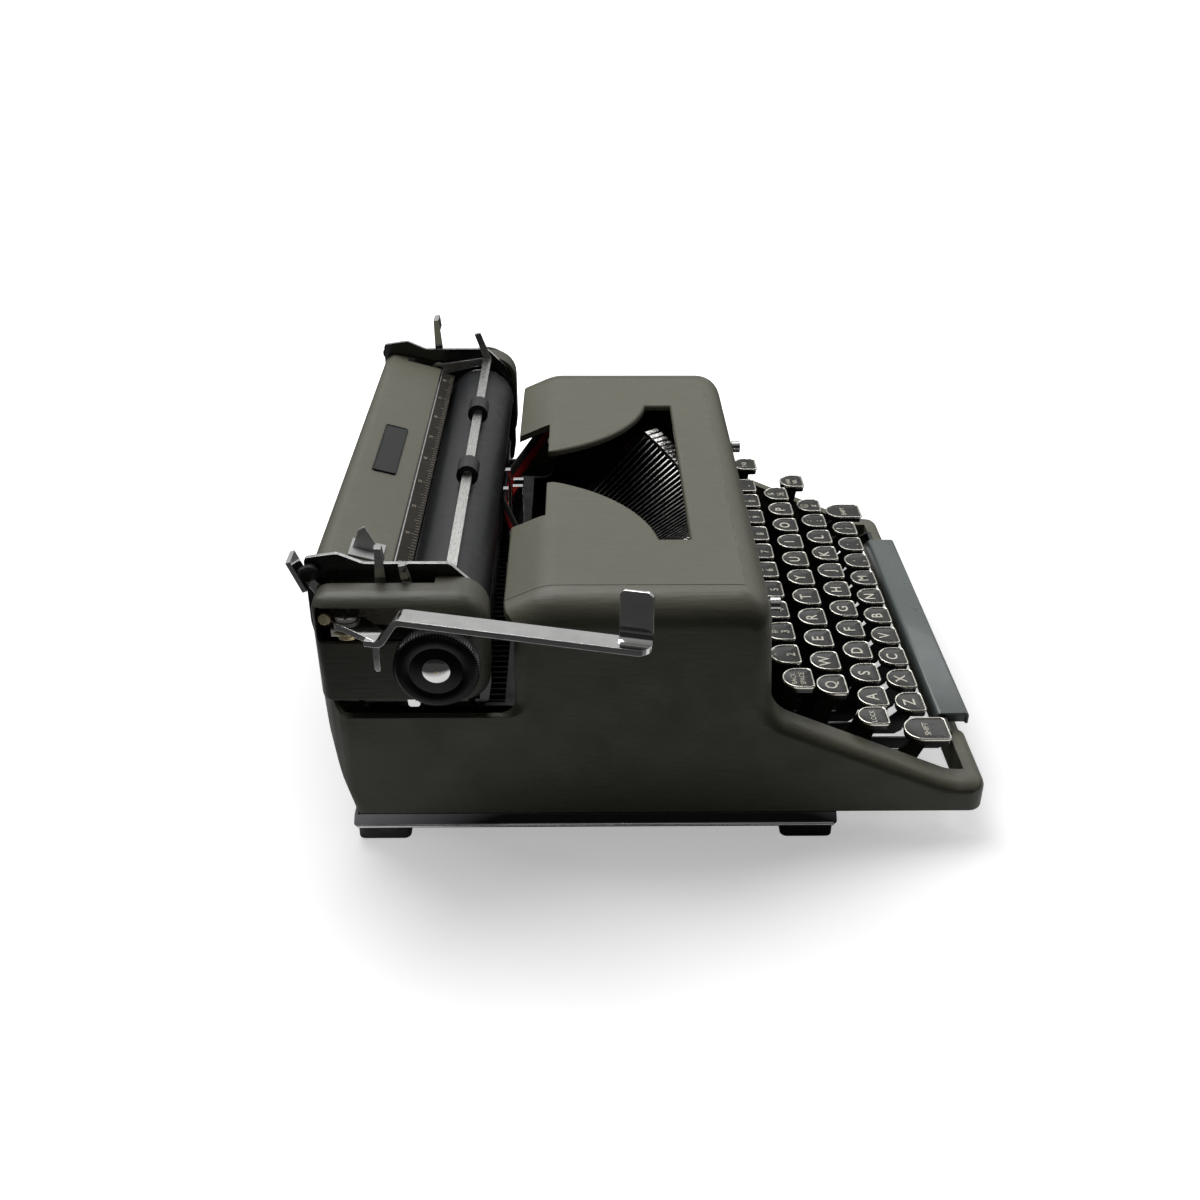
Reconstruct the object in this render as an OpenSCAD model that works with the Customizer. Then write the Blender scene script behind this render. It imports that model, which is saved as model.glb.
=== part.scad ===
// Portable manual typewriter: X to the typist's right, Y to the back, Z up from the table, in millimetres

/* [Body shell] */
// Width of the painted body
body_w = 258.6; // [254:0.2:266]
// Height of the body's lower edge above the table
body_bottom = 14.2; // [13:0.1:16]
// Thickness of the sheet-metal body
wall = 3; // [2:0.1:3.4]
// Front face of the bar before the keyboard, measured back from the centre
front_y = -144.5; // [-150:0.5:-143.5]
// Height of the bar before the keyboard
front_bar_top = 28.5; // [27.5:0.1:30]
// Depth of the bar before the keyboard
front_bar_depth = 8.5; // [7:0.1:9.5]
// Where the cheeks beside the keyboard start to climb
cheek_foot_y = -129; // [-132:0.5:-124]
// Foot of the hood's front face
hood_front_y = -47.5; // [-48.5:0.1:-46.5]
// Height of the foot of the hood's front face
hood_foot_z = 64; // [62:0.5:66]
// Height of the top of the hood
hood_top = 122; // [121:0.1:124]
// How far the hood's front face leans back over its height
hood_lean = 3; // [2:0.1:4]
// Rear edge of the hood, where the carriage way starts
hood_rear_y = 64.7; // [63.5:0.1:65]
// Height of the hood's rear edge
hood_rear_z = 114.5; // [114:0.1:116]
// Where the hood's roof starts to fall to its rear edge
hood_break_y = 48; // [46:0.5:50]
// Height of the sides beside the carriage way
way_rim_z = 67; // [65:0.1:67.4]
// Height of the rear wall
rear_rim_z = 76; // [74:0.1:77]
// Rear wall at the body's lower edge
rear_foot_y = 131.3; // [131:0.1:133]
// Rear wall at its rim
rear_rim_y = 142; // [141.8:0.1:144]
// Half width of the keyboard well
well_half_w = 117; // [116.6:0.1:118]
// Lower edge of the hood's front face, over the key levers
lever_gap_z = 62; // [58:0.5:63]
// Radius along the hood's upper side edges
hood_edge_r = 16; // [14:0.5:18]
// Radius along the outer edges of the cheeks
cheek_edge_r = 6; // [4:0.5:6]
// Width of the dip in the front bar under the space bar
dip_w = 176; // [174:0.5:180]
// Depth of the dip in the front bar
dip_depth = 7.5; // [7:0.1:8]

/* [Top cover] */
// Width of the hinged cover
cover_w = 229.6; // [228:0.2:231]
// Gap around the hinged cover
cover_gap = 0.4; // [0.3:0.05:0.6]
// Distance back to the cover's hinge axis
hinge_y = -31; // [-32:0.1:-29]
// Depth of the hinge axis under the hood's roof
hinge_drop = 2.5; // [2.3:0.1:2.8]
// Radius of the hinge pins
hinge_pin_r = 1.2; // [1:0.05:1.3]
// Front edge of the type opening
opening_front_y = -14.3; // [-15:0.1:-14]
// Width of the type opening at its front
opening_w = 150; // [146:0.5:156]
// Length of the straight sides of the type opening
opening_side = 13.3; // [12:0.1:15]
// Width of the type opening's neck
neck_w = 35; // [34:0.5:38]
// Where the type opening's curve meets the neck
neck_y = 45; // [43:0.5:46]
// Radius of the curved sides of the type opening
opening_r = 76.8; // [70:0.2:90]
// Width of the notch at the print point
notch_w = 102; // [100:0.5:106]
// Front edge of the notch at the print point
notch_y = 49.2; // [48:0.1:51]

/* [Base] */
// Height of the chrome rails under the body
rail_h = 7.2; // [6.5:0.1:8]
// Width of the chrome rails
rail_w = 11.2; // [10.5:0.1:11.6]
// Front end of the chrome rails
rail_front_y = -80; // [-84:0.5:-74]
// Rear end of the chrome rails
rail_rear_y = 133.5; // [131:0.5:135]
// Length of each rubber foot
foot_l = 21; // [16:0.5:26]
// Thickness of the frame's side plates
frame_t = 2.5; // [2:0.1:3]
// Inner distance between the frame's side plates
frame_w = 224; // [223.6:0.1:225]
// Height of the frame under the carriage rails
frame_top = 62; // [61.5:0.1:63]

/* [Keyboard] */
// Distance between neighbouring keys in a row
key_pitch = 19; // [18.8:0.05:19.2]
// Distance between rows
row_pitch = 20; // [19:0.1:20.3]
// Rise from one row to the next
row_rise = 9.8; // [9:0.1:10.4]
// Front row's distance back from the centre
row_front_y = -117; // [-119:0.5:-116]
// Height of the front row's key tops
row_front_z = 43; // [42:0.1:45]
// Width of a typing key
key_w = 15; // [13.5:0.1:15.6]
// Depth of a typing key
key_d = 13.5; // [12.5:0.1:14.5]
// Thickness of a key top
key_t = 4; // [3:0.1:4.4]
// Width of the metal ring round a key top
ring_w = 1; // [0.7:0.1:1.4]
// Width of a shift key
shift_w = 16.5; // [15:0.1:17]
// Depth of a shift key
shift_d = 20; // [18:0.1:20.6]
// Thickness of a key lever
lever_t = 1.2; // [1:0.05:1.4]
// Height of a key lever
lever_h = 6; // [5:0.1:6.6]
// Height of the shaft that the key levers turn on
shaft_z = 28; // [27:0.1:28.6]
// Distance back to the shaft that the key levers turn on
shaft_y = 100; // [98:0.5:101]
// Radius of the shaft that the key levers turn on
shaft_r = 3; // [2.5:0.1:3.4]
// Running clearance of shafts and pins in their bores
run_fit = 0.05; // [0.03:0.01:0.08]
// Travel of a typing key, in degrees about the shaft
key_swing = 3.5; // [3:0.1:3.6]

/* [Space bar] */
// Length of the space bar
space_l = 170; // [166:0.5:172]
// Depth of the space bar
space_d = 15; // [13:0.1:15.4]
// Height of the space bar's top
space_z = 35.7; // [35.2:0.1:37]
// Height of the space bar's front skirt
space_skirt = 6; // [5:0.1:6.2]

/* [Type basket] */
// Number of type bars
bar_count = 42; // [38:2:42]
// Angle between neighbouring type bars
bar_step = 2.24; // [2.18:0.01:2.24]
// Lean of the basket's axis towards the typist
basket_tilt = 25; // [24.6:0.1:25.4]
// Radius of the circle of the bar pivots
pivot_r = 60.9; // [60.6:0.1:61.2]
// Length of a type bar from pivot to type face
bar_l = 65.3; // [65:0.1:65.5]
// Lean of the resting bars out from the basket's axis
rest_lean = 29.4; // [29:0.1:29.6]
// Thickness of a type bar
bar_t = 1.2; // [1:0.05:1.3]
// Width of a type bar at its pivot
bar_w = 3.6; // [3:0.1:4]
// Length of a type slug, which carries two characters
slug_l = 9; // [8:0.1:9.4]
// Width of a type slug
slug_w = 3; // [2.4:0.1:3.1]
// How far a bar's type face stops before the platen
type_gap = 2.2; // [2.1:0.05:2.6]
// Drop of the basket when a shift key is held down
shift_drop = 6.5; // [5:0.1:6.5]

/* [Ribbon] */
// Radius of a ribbon spool
spool_r = 19; // [16:0.5:19.5]
// Sideways place of the spools
spool_x = 93; // [91.5:0.1:93.4]
// Distance back to the spools
spool_y = 30; // [28:0.1:31]
// Height of the ribbon's lower edge
ribbon_z = 99; // [98.5:0.1:99.5]
// Width of the ribbon
ribbon_w = 13; // [12:0.1:13.2]

/* [Carriage] */
// Gap from each end of the platen to the carriage's end plate
platen_gap = 4; // [3.5:0.1:5]
// Thickness of the carriage's end plates
plate_t = 2; // [1.6:0.1:2.4]
// Bottom of the carriage over the body's rim
carriage_bottom = 69.5; // [69:0.1:70]
// Front rail of the carriage way
way_front_y = 79; // [78.5:0.1:79.5]
// Rear rail of the carriage way
way_rear_y = 125; // [124.5:0.1:126]
// Clearance of the carriage's beams on their rails
slide_gap = 0.4; // [0.3:0.05:0.5]
// Radius of the platen
platen_r = 17.2; // [16.8:0.1:17.4]
// Length of the platen
platen_l = 234; // [228:0.5:235]
// Distance back to the platen's axis
platen_y = 88.5; // [88.3:0.1:88.9]
// Height of the platen's axis
platen_z = 108.7; // [108.4:0.1:109]
// Radius of the platen's shaft
platen_shaft_r = 5; // [4:0.1:5.4]
// Radius of the platen knobs
knob_r = 16.7; // [15:0.1:17]
// Reach of the platen knobs past the end covers
knob_l = 15; // [13:0.2:17]
// Length of a knob's knurled rim
knob_rim = 7; // [6:0.1:8]
// Width of the end covers
end_w = 20; // [19:0.1:21]
// Front of the end covers
end_front_y = 69.6; // [69.4:0.1:70.2]
// Rear of the end covers
end_rear_y = 138.5; // [137.5:0.1:139]
// Bottom of the end covers
end_bottom = 84; // [82:0.5:86]
// Top of the end covers
end_top = 131; // [130:0.5:132]
// Thickness of the end covers
end_wall = 2; // [1.6:0.1:2.4]
// Radius of the feed rollers
feed_r = 6; // [5:0.1:6.2]
// Radius of the paper bail's rollers
bail_roller_r = 5; // [4.6:0.05:5.2]
// Distance back to the paper bail's bar
bail_y = 85; // [84.6:0.1:85.4]
// Height of the paper bail's bar
bail_z = 131; // [131:0.1:131.6]
// Front edge of the paper table
table_front_y = 110.5; // [110:0.1:112]
// Height of the paper table's front edge
table_front_z = 126.8; // [126.4:0.1:127.4]
// Rear edge of the paper table
table_rear_y = 141; // [140:0.1:142]
// Height of the paper table's rear edge
table_rear_z = 135; // [134:0.1:136]

/* [Return lever] */
// Lever's pivot screw, in from the end cover's outer face
lever_inset = 4; // [3.5:0.1:5]
// Distance back to the lever's pivot screw
lever_pivot_y = 124; // [122:0.5:125]
// Height of the lever's root
lever_root_z = 119; // [118:0.1:120]
// Height of the lever's arm
lever_arm_z = 130; // [129:0.1:132]
// Width of the lever's arm
lever_w = 8.6; // [7:0.1:9.6]
// Thickness of the lever
lever_plate = 2.5; // [2:0.1:3]
// Thumb piece, out from the end cover's outer face
thumb_out = 34; // [32:0.5:36]
// Distance back to the thumb piece
thumb_y = 7.5; // [5:0.5:11]
// Height of the thumb piece's top
thumb_top = 153; // [149:0.5:156]
// Width of the thumb piece
thumb_w = 12.5; // [11:0.1:14]

/* [Hidden] */

$fn = 48;
// Steps of a rounded corner
arc_steps = 6;
// A cut goes this far past the face that it opens
past = 1;

body_half = body_w / 2;
hood_crown_y = hood_front_y + hood_lean;
cheek_slope = (hood_foot_z - front_bar_top) / (hood_front_y - cheek_foot_y);
cheek_angle = atan(cheek_slope);
hinge_z = hood_top - hinge_drop;
cover_half = cover_w / 2;
hood_fall = (hood_top - hood_rear_z) / (hood_rear_y - hood_break_y);
frame_half = frame_w / 2;
frame_out = frame_half + frame_t;
foot_z = body_bottom - rail_h;
rail_wall = 1.4;
rail_out = body_half - 0.6;

lever_bore = shaft_r + run_fit;
hub_r = shaft_r + 3;
row_keys = [10, 11, 11, 10];
row_stagger = [-0.25, -0.25, 0, 0] * key_pitch;
h_row = 3;
h_index = 5;
function row_y(row) = row_front_y + (4 - row) * row_pitch;
function row_z(row) = row_front_z + (4 - row) * row_rise;
function key_x(row, i) = (i - (row_keys[row - 1] - 1) / 2) * key_pitch + row_stagger[row - 1];
// The space bar's arms run just outside the third row's end levers
space_arm_x = 5 * key_pitch + 1.7;
shift_x = 106;
shift_right_lever_x = 108;
backspace_lever_x = -103;
tab_lever_x = 104.25;
release_lever_x = 100.5;
lock_lever_x = -shift_x - 2.6;
function row_levers(row) = [for (i = [0:row_keys[row - 1] - 1]) key_x(row, i)];
lever_places = [each row_levers(1), each row_levers(2), each row_levers(3), each row_levers(4),
  -space_arm_x, space_arm_x, -shift_x, shift_right_lever_x, backspace_lever_x, tab_lever_x,
  release_lever_x, lock_lever_x];

// The basket's axis leans through the print point, and the bar pivots lie on a circle round it
print_y = platen_y - platen_r - type_gap;
print_z = platen_z + 0.3;
pivot_drop = sqrt(bar_l * bar_l - pivot_r * pivot_r);
basket_y = print_y + pivot_drop * sin(basket_tilt);
basket_z = print_z - pivot_drop * cos(basket_tilt);
type_swing = rest_lean + asin(pivot_r / bar_l);
slug_turn = type_swing - basket_tilt - 90;
slug_t = 3;
bar_slot = bar_t + 0.5;
segment_half_angle = (bar_count / 2) * bar_step + 6;
h_bar = 0;

frame_guide_x = 62;
frame_guide_y = 40;
frame_guide_r = 3;
beam_z = 37;
beam_h = 6;
cup_z = 94;
cup_t = 2.5;
spool_z = ribbon_z - 2;
spool_h = ribbon_w + 4;
spool_post_r = 2.5;
guide_bar_y = 60;
guide_bar_d = 6;
selector_x = 84;
selector_z = 94;
selector_pivot_y = -36;
selector_pin_r = 1.5;

carriage_half = platen_l / 2 + platen_gap;
plate_out = carriage_half + plate_t;
end_x = plate_out + end_w;
knob_x = end_x + knob_l;
lever_pivot_x = lever_inset - end_x;
thumb_x = -end_x - thumb_out;
way_head = [6, 3];
way_web = 2;
way_neck_z = 72;
beam_d = 11;
carriage_beam_h = 9.5;
feed_reach = platen_r + feed_r + 0.3;
feed_angle = 65;
feed_shaft_r = 2;
feed_front_y = platen_y - feed_reach * cos(feed_angle);
feed_rear_y = platen_y + feed_reach * cos(feed_angle);
feed_z = platen_z - feed_reach * sin(feed_angle);
bail_pivot_y = platen_y + 23.5;
bail_pivot_z = platen_z + 16.9;
bail_stud_r = 2;
bail_arm_x = carriage_half - 3;
bail_arm_t = 1.6;
end_lever_x = plate_out + 1.6;
end_lever_t = 1.8;
stud_r = 1.5;
platen_axis = [platen_y, platen_z];
set_lever_pivot = platen_axis + [23.5, 3.3];
selector_lever_pivot = platen_axis + [10.5, 8.3];
release_pivot = platen_axis + [44.5, 13.3];
paper_release_pivot = platen_axis + [22.5, 5.3];
table_t = 1.6;
table_angle = atan((table_rear_z - table_front_z) / (table_rear_y - table_front_y));
table_half = carriage_half - 5;
rack_y = 133;
rack_z = 97;
rack_size = [3.5, 4];
stop_x = 70;
drum_place = [-84, 106];
bell_place = [66, 106];
shelf_z = 36.5;
shelf_t = 2;

// Functions for outlines: points are [across, up, corner radius], in anticlockwise order
function unit(v) = v / norm(v);
function flat(p) = [p[0], p[1]];
function arc(centre, r, from, to, steps) =
  [for (i = [0:steps]) centre + r * [cos(from + (to - from) * i / steps), sin(from + (to - from) * i / steps)]];
function nearest_turn(a) = a > 180 ? a - 360 : a < -180 ? a + 360 : a;
function corner(a, b, c) =
  let (u = unit(flat(a) - flat(b)), w = unit(flat(c) - flat(b)), half = acos(u * w) / 2)
  let (centre = flat(b) + unit(u + w) * b[2] / sin(half), reach = b[2] / tan(half))
  let (p = flat(b) + u * reach - centre, q = flat(b) + w * reach - centre, from = atan2(p[1], p[0]))
  arc(centre, b[2], from, from + nearest_turn(atan2(q[1], q[0]) - from), arc_steps);
function rounded(pts) =
  [for (i = [0:len(pts) - 1])
    each pts[i][2] > 0
      ? corner(pts[(i + len(pts) - 1) % len(pts)], pts[i], pts[(i + 1) % len(pts)])
      : [flat(pts[i])]];
function moved_line(p, q, d) =
  let (t = unit(flat(q) - flat(p))) [flat(p) + d * [-t[1], t[0]], t];
function meet(l, m) = l[0] + l[1] * cross(m[0] - l[0], m[1]) / cross(l[1], m[1]);
function inset_corner(a, b, c, d) =
  let (p = meet(moved_line(a, b, d), moved_line(b, c, d)))
  let (hollow = cross(flat(b) - flat(a), flat(c) - flat(b)) < 0)
  [p[0], p[1], b[2] > 0 ? max(0.2, b[2] + (hollow ? d : -d)) : 0];
function inset(pts, d) =
  [for (i = [0:len(pts) - 1])
    inset_corner(pts[(i + len(pts) - 1) % len(pts)], pts[i], pts[(i + 1) % len(pts)], d)];
function block(x0, y0, x1, y1, r) = [[x0, y0, r], [x1, y0, r], [x1, y1, r], [x0, y1, r]];

// Extrudes an outline drawn in [Y, Z] along X
module along_x(x0, x1) translate([x0, 0, 0]) rotate([90, 0, 90]) linear_extrude(x1 - x0) children();
module box(lo, hi) translate(lo) cube(hi - lo);
module pin_x(x0, x1, y, z, r) translate([x0, y, z]) rotate([0, 90, 0]) cylinder(r = r, h = x1 - x0);
module both_sides() { children(); mirror([1, 0, 0]) children(); }

// The body's side outline, with the rear wall bulging out towards its rim
function rear_y(z) =
  let (t = (z - body_bottom) / (rear_rim_z - body_bottom))
  rear_foot_y + (rear_rim_y - rear_foot_y) * (1.6 * t - 0.6 * t * t);
rear_bend_z = [33.7, 55];
rear_rim_t = wall + 1.5;
way_step_y = rear_y(way_rim_z) - rear_rim_t - 3;
front_edge_r = 5;
body_outline = [
  [front_y, body_bottom, 0],
  [rear_foot_y, body_bottom, 0],
  [rear_y(rear_bend_z[0]), rear_bend_z[0], 60],
  [rear_y(rear_bend_z[1]), rear_bend_z[1], 60],
  [rear_rim_y, rear_rim_z, 1.2],
  [rear_rim_y - rear_rim_t, rear_rim_z, 1.2],
  [way_step_y, way_rim_z, 5],
  [hood_rear_y, way_rim_z, 5],
  [hood_rear_y, hood_rear_z, 1.5],
  [hood_break_y, hood_top, 24],
  [hood_crown_y, hood_top, 14],
  [hood_front_y, hood_foot_z, 15],
  [cheek_foot_y, front_bar_top, 18],
  [front_y, front_bar_top, front_edge_r]];
chimney_y = hood_rear_y - wall + 0.3;
inside_outline = [
  [front_y, body_bottom - wall - past, 0],
  [rear_y(body_bottom) - 0.4, body_bottom - wall - past, 0],
  [rear_y(rear_bend_z[0]), rear_bend_z[0], 60],
  [rear_y(rear_bend_z[1]), rear_bend_z[1], 60],
  [rear_rim_y + 1, hood_top + 10, 0],
  [chimney_y, hood_top + 10, 0],
  [chimney_y, hood_rear_z + hood_fall * (hood_rear_y - chimney_y), 0],
  [hood_break_y, hood_top, 24],
  [hood_crown_y, hood_top, 14],
  [hood_front_y, hood_foot_z, 15],
  [cheek_foot_y, front_bar_top, 18],
  [front_y, front_bar_top, front_edge_r]];
plan_outline = [
  [-body_half, front_y, 9], [body_half, front_y, 9],
  [body_half, rear_rim_y, 16], [-body_half, rear_rim_y, 16]];
section_outline = [
  [-body_half, -2 * wall, 0], [body_half, -2 * wall, 0],
  [body_half, hood_top, hood_edge_r], [-body_half, hood_top, hood_edge_r]];

module body_form(outline, d) {
  intersection() {
    along_x(-body_half, body_half) polygon(rounded(d > 0 ? inset(outline, d) : outline));
    translate([0, 0, -2 * wall]) linear_extrude(2 * hood_top) polygon(rounded(inset(plan_outline, d + 0.001)));
    translate([0, 2 * rear_rim_y, 0]) rotate([90, 0, 0])
      linear_extrude(4 * rear_rim_y) polygon(rounded(inset(section_outline, d + 0.001)));
  }
}
module body_hollow() {
  difference() {
    body_form(inside_outline, wall);
    box([-well_half_w - wall, front_y - past, 0],
      [well_half_w + wall, hood_front_y + wall + hood_lean, hood_foot_z + 8]);
    box([-body_half, front_y - past, 0],
      [body_half, front_y + front_bar_depth + wall, front_bar_top]);
  }
}
module body_skin() {
  difference() {
    body_form(body_outline, 0);
    body_hollow();
  }
}
// A strip that rounds the outer upper edge of a cheek along its slope
module cheek_rounding() {
  r = cheek_edge_r;
  run = (hood_front_y - cheek_foot_y) / cos(cheek_angle);
  translate([body_half, cheek_foot_y, front_bar_top]) rotate([90 + cheek_angle, 0, 0])
    translate([0, 0, -run - 6]) linear_extrude(run + 3)
      polygon([[past, -r], [past, past], [-r, past], each arc([-r, -r], r, 90, 0, arc_steps)]);
}
module hinge_lug() {
  intersection() {
    body_form(body_outline, 0);
    box([cover_half + 2 * cover_gap, hinge_y - 4, hinge_z - 6],
      [cover_half + 5, hinge_y + 4, hinge_z + 1.6]);
  }
}
module selector_lug(side) {
  for (s = [-1, 1])
    box([side * selector_x + s * 3 - 1.2, hood_crown_y + wall - 2, selector_z - 4],
      [side * selector_x + s * 3 + 1.2, selector_pivot_y + 3, selector_z + 4]);
}

module body_shell() color("#5f5e55") {
  difference() {
    union() {
      body_skin();
      both_sides() hinge_lug();
      selector_lug(-1);
      selector_lug(1);
    }
    box([-well_half_w, front_y + front_bar_depth, 0], [well_half_w, hood_front_y, hood_foot_z + 22]);
    box([-well_half_w, hood_front_y - past, 0], [well_half_w, hood_crown_y + wall + past, lever_gap_z]);
    box([-well_half_w - wall, hood_front_y - 0.5, -past],
      [well_half_w + wall, hood_front_y + 2 * wall + hood_lean, lever_gap_z - 8]);
    box([-cover_half - cover_gap, hinge_y - hinge_drop - cover_gap, hinge_z - 3 * wall],
      [cover_half + cover_gap, hood_rear_y + past, hood_top + past]);
    box([-dip_w / 2, front_y - past, front_bar_top - dip_depth],
      [dip_w / 2, front_y + front_bar_depth + past, front_bar_top + past]);
    both_sides() cheek_rounding();
    both_sides() pin_x(cover_half, cover_half + 4, hinge_y, hinge_z, hinge_pin_r);
    for (side = [-1, 1]) {
      box([side * selector_x - 1.6, hood_front_y - past, selector_z - 9],
        [side * selector_x + 1.6, hood_crown_y + wall + past, selector_z + 9]);
      pin_x(side * selector_x - 5, side * selector_x + 5, selector_pivot_y, selector_z, selector_pin_r);
    }
  }
}

// The opening over the type basket, its neck and the notch at the print point
opening_end_y = opening_front_y + opening_side;
opening_chord = [opening_w / 2 - neck_w / 2, opening_end_y - neck_y];
opening_mid = [(opening_w + neck_w) / 4, (opening_end_y + neck_y) / 2];
opening_sag = sqrt(opening_r * opening_r - pow(norm(opening_chord) / 2, 2));
opening_centre = opening_mid + opening_sag * unit([-opening_chord[1], opening_chord[0]]);
function opening_angle(p) = let (v = p - opening_centre) atan2(v[1], v[0]);
opening_arc = arc(opening_centre, opening_r,
  opening_angle([opening_w / 2, opening_end_y]), opening_angle([neck_w / 2, neck_y]), 12);
function mirrored(pts) = [for (i = [len(pts) - 1:-1:0]) [-pts[i][0], pts[i][1]]];
opening_half = concat([[opening_w / 2, opening_front_y]], opening_arc,
  rounded([[neck_w / 2, notch_y, 0], [notch_w / 2, notch_y, 0], [notch_w / 2, 2 * hood_rear_y, 0]]));

module top_cover() color("#6b6a60") {
  difference() {
    union() {
      intersection() {
        body_skin();
        box([-cover_half, hinge_y, hinge_z - 4 * wall], [cover_half, hood_rear_y, hood_top + past]);
      }
      pin_x(-cover_half, cover_half, hinge_y, hinge_z, hinge_drop);
    }
    translate([0, 0, hinge_z - 5 * wall]) linear_extrude(8 * wall)
      polygon(concat(opening_half, mirrored(opening_half)));
    both_sides() pin_x(cover_half - 12, cover_half + past, hinge_y, hinge_z, hinge_pin_r + run_fit);
  }
}
module hinge_pins() color("silver")
  both_sides() pin_x(cover_half - 11, cover_half + 3.8, hinge_y, hinge_z, hinge_pin_r);

// Chrome channels under the body, with a rubber foot plugged into each end
module side_rails() color("silver") both_sides() {
  difference() {
    along_x(rail_out - rail_w, rail_out)
      polygon(rounded([[rail_front_y, foot_z, 2], [rail_rear_y, foot_z, 2],
        [rail_rear_y - 1, body_bottom, 0], [rail_front_y + 1, body_bottom, 0]]));
    box([rail_out - rail_w + rail_wall, rail_front_y + rail_wall + 1, foot_z - past],
      [rail_out - rail_wall, rail_rear_y - rail_wall - 1, body_bottom - rail_wall]);
  }
}
module rubber_foot(y) {
  lo = rail_out - rail_w + rail_wall + 0.1;
  hi = rail_out - rail_wall - 0.1;
  translate([0, y, 0]) {
    linear_extrude(body_bottom - rail_wall) polygon(rounded(block(lo, 0, hi, foot_l, 3)));
    linear_extrude(foot_z - 0.2) polygon(rounded(block(lo - 1, -1, hi + 1, foot_l + 1, 3)));
  }
}
module rubber_feet() color("#202020") both_sides() {
  rubber_foot(rail_front_y + rail_wall + 1.2);
  rubber_foot(rail_rear_y - rail_wall - 1.2 - foot_l);
}

// Cast inner frame that carries the levers, the basket, the spools and the carriage rails
frame_front_y = -60;
flange_front_y = hood_front_y + 2 * wall;
frame_rear_y = 122.5;
frame_base = body_bottom + 2;
comb_y = -30;
comb_t = 2;
frame_outline = [
  [frame_front_y, frame_base, 0], [way_rear_y + 2, frame_base, 0],
  [way_rear_y + 2, frame_top, 3], [spool_y + 20, frame_top, 6],
  [spool_y + 14, cup_z, 2], [spool_y - 14, cup_z, 2], [spool_y - 22, frame_top - 8, 8],
  [frame_front_y, frame_base + 16, 6]];
module frame_side() {
  along_x(frame_half, frame_out) difference() {
    polygon(rounded(frame_outline));
    for (y = [-8, 66]) translate([y, 36]) circle(r = 11);
    translate([spool_y, 70]) circle(r = 10);
    translate([shaft_y, shaft_z]) circle(r = shaft_r);
  }
  box([frame_half, flange_front_y, body_bottom], [body_half - wall - 0.3, frame_rear_y, frame_base]);
}
module shelf(place) {
  box([place[0] - 14, place[1] - 6, shelf_z], [place[0] + 14, frame_rear_y + past, shelf_z + shelf_t]);
  translate([place[0], place[1], shelf_z]) cylinder(r = 3, h = 19);
}
module base_frame() color("#2b2b2b") {
  both_sides() frame_side();
  box([-frame_out, comb_y - 6, body_bottom], [frame_out, comb_y + 2, frame_base]);
  box([-frame_half - 1, frame_guide_y - 4, beam_z], [frame_half + 1, frame_guide_y + 4, beam_z + beam_h]);
  box([-frame_half - 1, guide_bar_y, frame_top - 6],
    [frame_half + 1, guide_bar_y + guide_bar_d, frame_top]);
  box([-frame_half - 1, frame_rear_y, body_bottom], [frame_half + 1, frame_rear_y + 2.5, frame_top - 4]);
  both_sides() translate([frame_guide_x, frame_guide_y, beam_z]) cylinder(r = frame_guide_r, h = 46);
  shelf(drum_place);
  shelf(bell_place);
}
module lever_shaft() color("silver") pin_x(-frame_out, frame_out, shaft_y, shaft_z, shaft_r);

module lever_comb() color("#3a3a3a") difference() {
  box([-frame_half, comb_y - comb_t / 2, frame_base], [frame_half, comb_y + comb_t / 2, frame_base + 24]);
  for (x = lever_places)
    box([x - lever_t / 2 - 0.45, comb_y - comb_t, frame_base + 0.6],
      [x + lever_t / 2 + 0.45, comb_y + comb_t, frame_base + 18]);
}

// Steel rails with a wide head that the carriage hangs on
module way_rail(y) translate([0, y, 0]) {
  box([-frame_out, -way_web / 2, frame_top], [frame_out, way_web / 2, way_neck_z]);
  box([-frame_out, -way_head[0] / 2, way_neck_z], [frame_out, way_head[0] / 2, way_neck_z + way_head[1]]);
}
module carriage_rails() color("silver") {
  way_rail(way_front_y);
  way_rail(way_rear_y);
}

// A key top is rounded at the back and square at the front, and a raised ring frames its face
function key_outline(w, d, t) =
  let (r = w / 2 - t)
  rounded([[-r, t - d / 2, 2.2 - t], [r, t - d / 2, 2.2 - t], [r, d / 2 - t, r - 0.2], [-r, d / 2 - t, r - 0.2]]);
module key_top(w, d) difference() {
  linear_extrude(key_t) polygon(key_outline(w, d, 0));
  translate([0, 0, key_t - 0.6]) linear_extrude(past) polygon(key_outline(w, d, ring_w));
}
stem_w = 6;
stem_lean = 8;
// A lever with its upturned stem, from its hub on the shaft at [hub_y, hub_z] to a key top's underside
module key_lever(x, y, z, hub_y, hub_z) {
  lo = hub_z - lever_h / 2;
  hi = hub_z + lever_h / 2;
  foot = y + stem_lean;
  along_x(x - lever_t / 2, x + lever_t / 2) difference() {
    union() {
      polygon([[hub_y, lo], [hub_y, hi], [foot + stem_w / 2, hi], [y + stem_w / 2, z - key_t],
        [y - stem_w / 2, z - key_t], [foot - stem_w, lo + 2], [foot - stem_w + 3, lo]]);
      translate([hub_y, hub_z]) circle(r = hub_r);
    }
    translate([hub_y, hub_z]) circle(r = lever_bore);
  }
}
module key(x, y, z, w, d, lever_x) {
  translate([x, y, z - key_t]) key_top(w, d);
  key_lever(lever_x, y, z, shaft_y, shaft_z);
}
module typing_key(row, i) {
  x = key_x(row, i);
  key(x, row_y(row), row_z(row), key_w, key_d, x);
}
module keys_row(row) {
  for (i = [0:row_keys[row - 1] - 1])
    if (row != h_row || i != h_index) typing_key(row, i);
}
module key_h() color("#4a4a46") typing_key(h_row, h_index);
module keys_row_1() color("#4a4a46") keys_row(1);
module keys_row_2() color("#4a4a46") keys_row(2);
module keys_row_3() color("#4a4a46") keys_row(3);
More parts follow.
